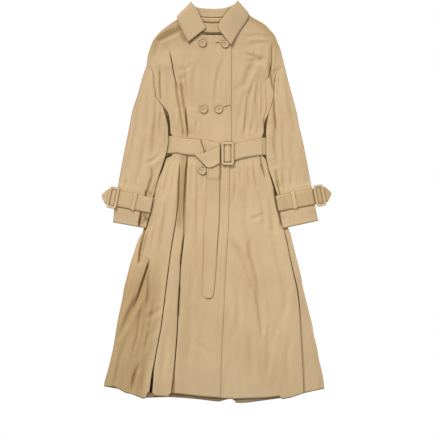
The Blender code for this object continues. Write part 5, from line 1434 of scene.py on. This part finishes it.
def ramp(tree, share, stops):
    """Colours between stops, by a share from 0 to 1."""
    made = add_node(tree, "ValToRGB", {"Fac": share})
    elements = made.color_ramp.elements
    for element, (place, colour) in zip((elements[0], elements[1]), (stops[0], stops[-1])):
        element.position = place
        element.color = (*colour, 1.0)
    for place, colour in stops[1:-1]:
        elements.new(place).color = (*colour, 1.0)
    return made.outputs["Color"]


def multiply(tree, factor, first, second):
    """Product of two colours."""
    inputs = {"Factor": factor, 6: first, 7: second}
    return add_node(tree, "Mix", inputs, data_type="RGBA", blend_type="MULTIPLY").outputs[2]


def calculate(tree, operation, first, second):
    """A sum, a product or a comparison of two numbers."""
    return add_node(tree, "Math", {0: first, 1: second}, operation=operation).outputs["Value"]


def new_finish(name, values):
    """A material, its node tree and its shader, with a few values set."""
    made = bpy.data.materials.new(name)
    made.use_nodes = True
    shader = made.node_tree.nodes["Principled BSDF"]
    for key, value in values.items():
        shader.inputs[key].default_value = value
    return made, made.node_tree, shader


def finish_shader(tree, shader, colour, height, strength, distance):
    """Colour and bump of a shader."""
    bump = add_node(tree, "Bump", {"Strength": strength, "Distance": distance, "Height": height})
    tree.links.new(colour, shader.inputs["Base Color"])
    tree.links.new(bump.outputs["Normal"], shader.inputs["Normal"])


def cloth_finish(name, base, dark, twill, rough, weave=0.12, sheen=0.12):
    """Cotton twill: a diagonal weave, faint slubs and slow changes of colour, with painted shade deep between
    folds and where marked.
    """
    made, tree, shader = new_finish(name, {"Roughness": rough, "Specular IOR Level": 0.25,
                                           "Sheen Weight": sheen, "Sheen Roughness": 0.45})
    where = add_node(tree, "TexCoord", {}).outputs["Object"]
    turned = add_node(tree, "Mapping", {"Rotation": (0.0, 0.0, TWILL_LEAN), "Vector": where})
    wave = add_node(tree, "TexWave", {"Scale": 1.0 / twill / 6.283, "Distortion": 0.6, "Detail": 1.0,
                                      "Vector": turned.outputs["Vector"]})
    slub = add_node(tree, "TexNoise", {"Scale": 900.0, "Detail": 2.0, "Vector": where})
    slow = add_node(tree, "TexNoise", {"Scale": 7.0, "Detail": 3.0, "Vector": where})
    blend = ramp(tree, slow.outputs["Fac"], ((0.3, dark), (0.62, base)))
    woven = multiply(tree, 0.1, blend, wave.outputs["Color"])
    height = calculate(tree, "ADD", wave.outputs["Fac"], slub.outputs["Fac"])
    finish_shader(tree, shader, shade_crevices(tree, woven), height, weave, 0.0003)
    return made


def shade_crevices(tree, colour):
    """Painted shade: warmer and darker colour deep between folds, where only light from the cloth itself
    comes in, and where shade is marked.
    """
    near = add_node(tree, "AmbientOcclusion", {"Distance": CREVICE_SHADE_REACH}, samples=8)
    product = multiply(tree, 1.0, colour, ramp(tree, near.outputs["AO"], CREVICE_SHADE_TONES))
    marked = add_node(tree, "Attribute", {}, attribute_name="shade")
    facing = add_node(tree, "NewGeometry", {}).outputs["Normal"]
    level = add_node(tree, "SeparateXYZ", {"Vector": facing}).outputs["Z"]
    upward = calculate(tree, "GREATER_THAN", level, LEAST_UP)
    seen = calculate(tree, "MULTIPLY", marked.outputs["Fac"], upward)
    return multiply(tree, 1.0, product, ramp(tree, seen, SHADE_TONES))


def plain_finish(name, base, rough, grain, depth):
    """A finish with a fine grain, for buttons, thread and the painted shade inside buttonholes and button
    holes.
    """
    made, tree, shader = new_finish(name, {"Roughness": rough, "Specular IOR Level": 0.4})
    where = add_node(tree, "TexCoord", {}).outputs["Object"]
    noise = add_node(tree, "TexNoise", {"Scale": grain, "Detail": 3.0, "Vector": where}).outputs["Fac"]
    darker, lighter = [v * 0.88 for v in base], [min(v * 1.06, 1.0) for v in base]
    finish_shader(tree, shader, ramp(tree, noise, ((0.0, darker), (1.0, lighter))), noise, depth, 0.0002)
    return made


def set_stage():
    """White surface, soft light from all round with a little more from the upper left, and the camera."""
    scene = bpy.context.scene
    scene.view_settings.view_transform = "Standard"
    scene.view_settings.look = "None"
    world = bpy.data.worlds.new("studio")
    scene.world = world
    world.use_nodes = True
    sky = world.node_tree.nodes["Background"].inputs
    sky["Color"].default_value = (1.0, 1.0, 1.0, 1.0)
    sky["Strength"].default_value = WORLD_LIGHT
    white = bpy.data.materials.new("white_surface")
    white.use_nodes = True
    tree = white.node_tree
    tree.nodes.remove(tree.nodes["Principled BSDF"])
    glow = add_node(tree, "Emission", {"Color": (1.0, 1.0, 1.0, 1.0), "Strength": 1.0})
    tree.links.new(glow.outputs["Emission"], tree.nodes["Material Output"].inputs["Surface"])
    data = bpy.data.meshes.new("white_surface")
    corners = [(x * FLOOR_HALF, y * FLOOR_HALF, FLOOR_Z) for x, y in ((-1, -1), (1, -1), (1, 1), (-1, 1))]
    data.from_pydata(corners, [], [(0, 1, 2, 3)])
    floor = new_object("white_surface", data, white)
    sun = bpy.data.lights.new("window", "SUN")
    sun.energy = SUN_LIGHT
    sun.angle = math.radians(SUN_SPREAD)
    new_object("window", sun).rotation_euler = Vector(SUN_FROM).to_track_quat("Z", "Y").to_euler()
    panel = bpy.data.lights.new("overhead", "AREA")
    panel.energy = PANEL_LIGHT
    panel.size = PANEL_SIZE
    new_object("overhead", panel).location = PANEL_AT
    camera = bpy.data.cameras.new("camera")
    camera.sensor_width = SENSOR
    camera.lens = SENSOR * CAMERA_HEIGHT / VIEW_WIDTH
    scene.camera = new_object("camera", camera)
    scene.camera.location = (VIEW_X, VIEW_Y, CAMERA_HEIGHT)


def make_finishes():
    return {
        "cloth": cloth_finish("gabardine", TAN, TAN_DARK, TWILL_PITCH, 0.86),
        "strap": cloth_finish("belt_cloth", TAN, TAN_DARK, TWILL_PITCH, 0.86, 0.14),
        "cover": cloth_finish("buckle_cover", COVER_TAN, THREAD_TAN, COVER_PITCH, 0.6, 0.06, 0.05),
        "button": plain_finish("button_resin", BUTTON_BROWN, 0.38, 240.0, 0.1),
        "thread": plain_finish("thread", THREAD_TAN, 0.7, 2400.0, 0.4),
        # painted shade for the inside of buttonholes and button holes
        "shade": plain_finish("shade", PAINTED_HOLE_SHADE, 0.9, 900.0, 0.2),
    }


def add_sleeves(cloth):
    for side, sections, creases, fine, dark, cuff in (
            (-1, LEFT_SLEEVE, LEFT_SLEEVE_CREASES, LEFT_SLEEVE_FINE, LEFT_SLEEVE_SHADE_LINES, LEFT_CUFF),
            (1, RIGHT_SLEEVE, RIGHT_SLEEVE_CREASES, RIGHT_SLEEVE_FINE, RIGHT_SLEEVE_SHADE_LINES, RIGHT_CUFF)):
        tape = tape_grid(side)
        # painted shade on the seam allowance where it shows in a gap
        tape_shade = np.full(tape.shape[:2], TAPE_SHADE)
        add_cloth(f"seam_allowance_{SIDES[side]}", None, tape, TAPE_WALL, cloth, shade=tape_shade)
        grid, shade = sleeve_grid(sections, creases, fine, dark, side, cuff)
        add_cloth(f"sleeve_{SIDES[side]}", "shell", grid, CLOTH - THINNER, cloth, ring=True, shade=shade)


def add_cuffs(finish):
    # a little painted shade on each cuff strap, more on the right one
    for name, cuff, tone in (("left", LEFT_CUFF, 0.02), ("right", RIGHT_CUFF, 0.1)):
        strip = ribbon_grid(refine(cuff_strap_stations(cuff), 3.0), 13, pad=0.3, ridge=0.2)
        strap_shade = np.full(strip.shape[:2], tone)
        add_cloth(f"cuff_strap_{name}", "strip", strip, STRAP - THINNER, finish["strap"], shade=strap_shade)
        add_cloth(f"cuff_keeper_{name}", "strip", keeper_grid(cuff), KEEPER_WALL, finish["strap"])
        make_buckle(f"cuff_buckle_{name}", cuff, cuff["seat"], finish)


def main():
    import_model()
    finish = make_finishes()
    cloth, strap, thread = finish["cloth"], finish["strap"], finish["thread"]
    set_stage()
    step = ROW_STEP
    back, shade = back_grid()
    add_cloth("back", "shell", back, CLOTH - THINNER, cloth, shade=shade)
    over, shade = front_grid(True, step)
    add_cloth("front_over", "shell", over, CLOTH - THINNER, cloth, shade=shade)
    under, shade = front_grid(False, step)
    add_cloth("front_under", "shell", under, CLOTH - THINNER, cloth, shade=shade)
    add_sleeves(cloth)
    leaf = ribbon_grid(refine(leaf_stations(), STRIP_STEP), 17, LEAF_BOW)
    add_cloth("collar_leaf", "shell", leaf, LEAF_WALL, cloth)
    stand = ribbon_grid(refine(STAND + STAND[:1], STRIP_STEP)[:-1], 9)
    # painted shade line along the front band's upper edge
    shade = line_shade(stand[..., 0], stand[..., 1], BAND_SHADE_LINE)
    add_cloth("collar_stand", "shell", stand, LEAF_WALL, cloth, ring=True, shade=shade)
    belt = ribbon_grid(refine(belt_stations(), STRIP_STEP), 15, pad=0.3, ridge=0.25)
    # painted shade along the slanted line where the belt's end shows
    off_end = belt[..., 0] - np.interp(belt[..., 1], *BELT_END_LINE)
    shade = BELT_END_SHADE[0] * bell(off_end, BELT_END_SHADE[1]) * (belt[..., 2] > 5)
    add_cloth("belt", "strip", belt, STRAP - THINNER, strap, shade=shade)
    tail = hemmed(finer(across_steps(TAIL, tail_height), 5.0, 17), first=0.7)
    # painted shade along the hanging end's edges
    shade = line_shade(tail[..., 0], tail[..., 1], TAIL_SHADE_LINES)
    add_cloth("belt_tail", "strip", tail, TAIL_WALL, strap, shade=shade)
    knot = hemmed(finer(across_steps(KNOT, knot_height), 3.0, 17))[::-1]
    add_cloth("belt_knot", "strip", knot, STRAP - THINNER, strap)
    make_buckle("belt_buckle", BELT_BUCKLE, BELT_BUCKLE["low"], finish)
    for name, (x, y) in BUTTONS.items():
        make_button(name, (x, y, button_seat(x, y)), finish)
    add_cuffs(finish)
    for name, (start, end) in BUTTONHOLES.items():
        make_buttonhole(name, start, end, finish)
    stitches("front_edge_stitches", [over_row(over, line) for line in EDGE_STITCHES], thread)
    stitches("collar_stitches", [surface_line(leaf, 5.0, True)], thread)
    strap_lines = [surface_line(strip, 4.0, from_end) for strip in (belt, tail) for from_end in (False, True)]
    stitches("belt_stitches", strap_lines, thread)


main()
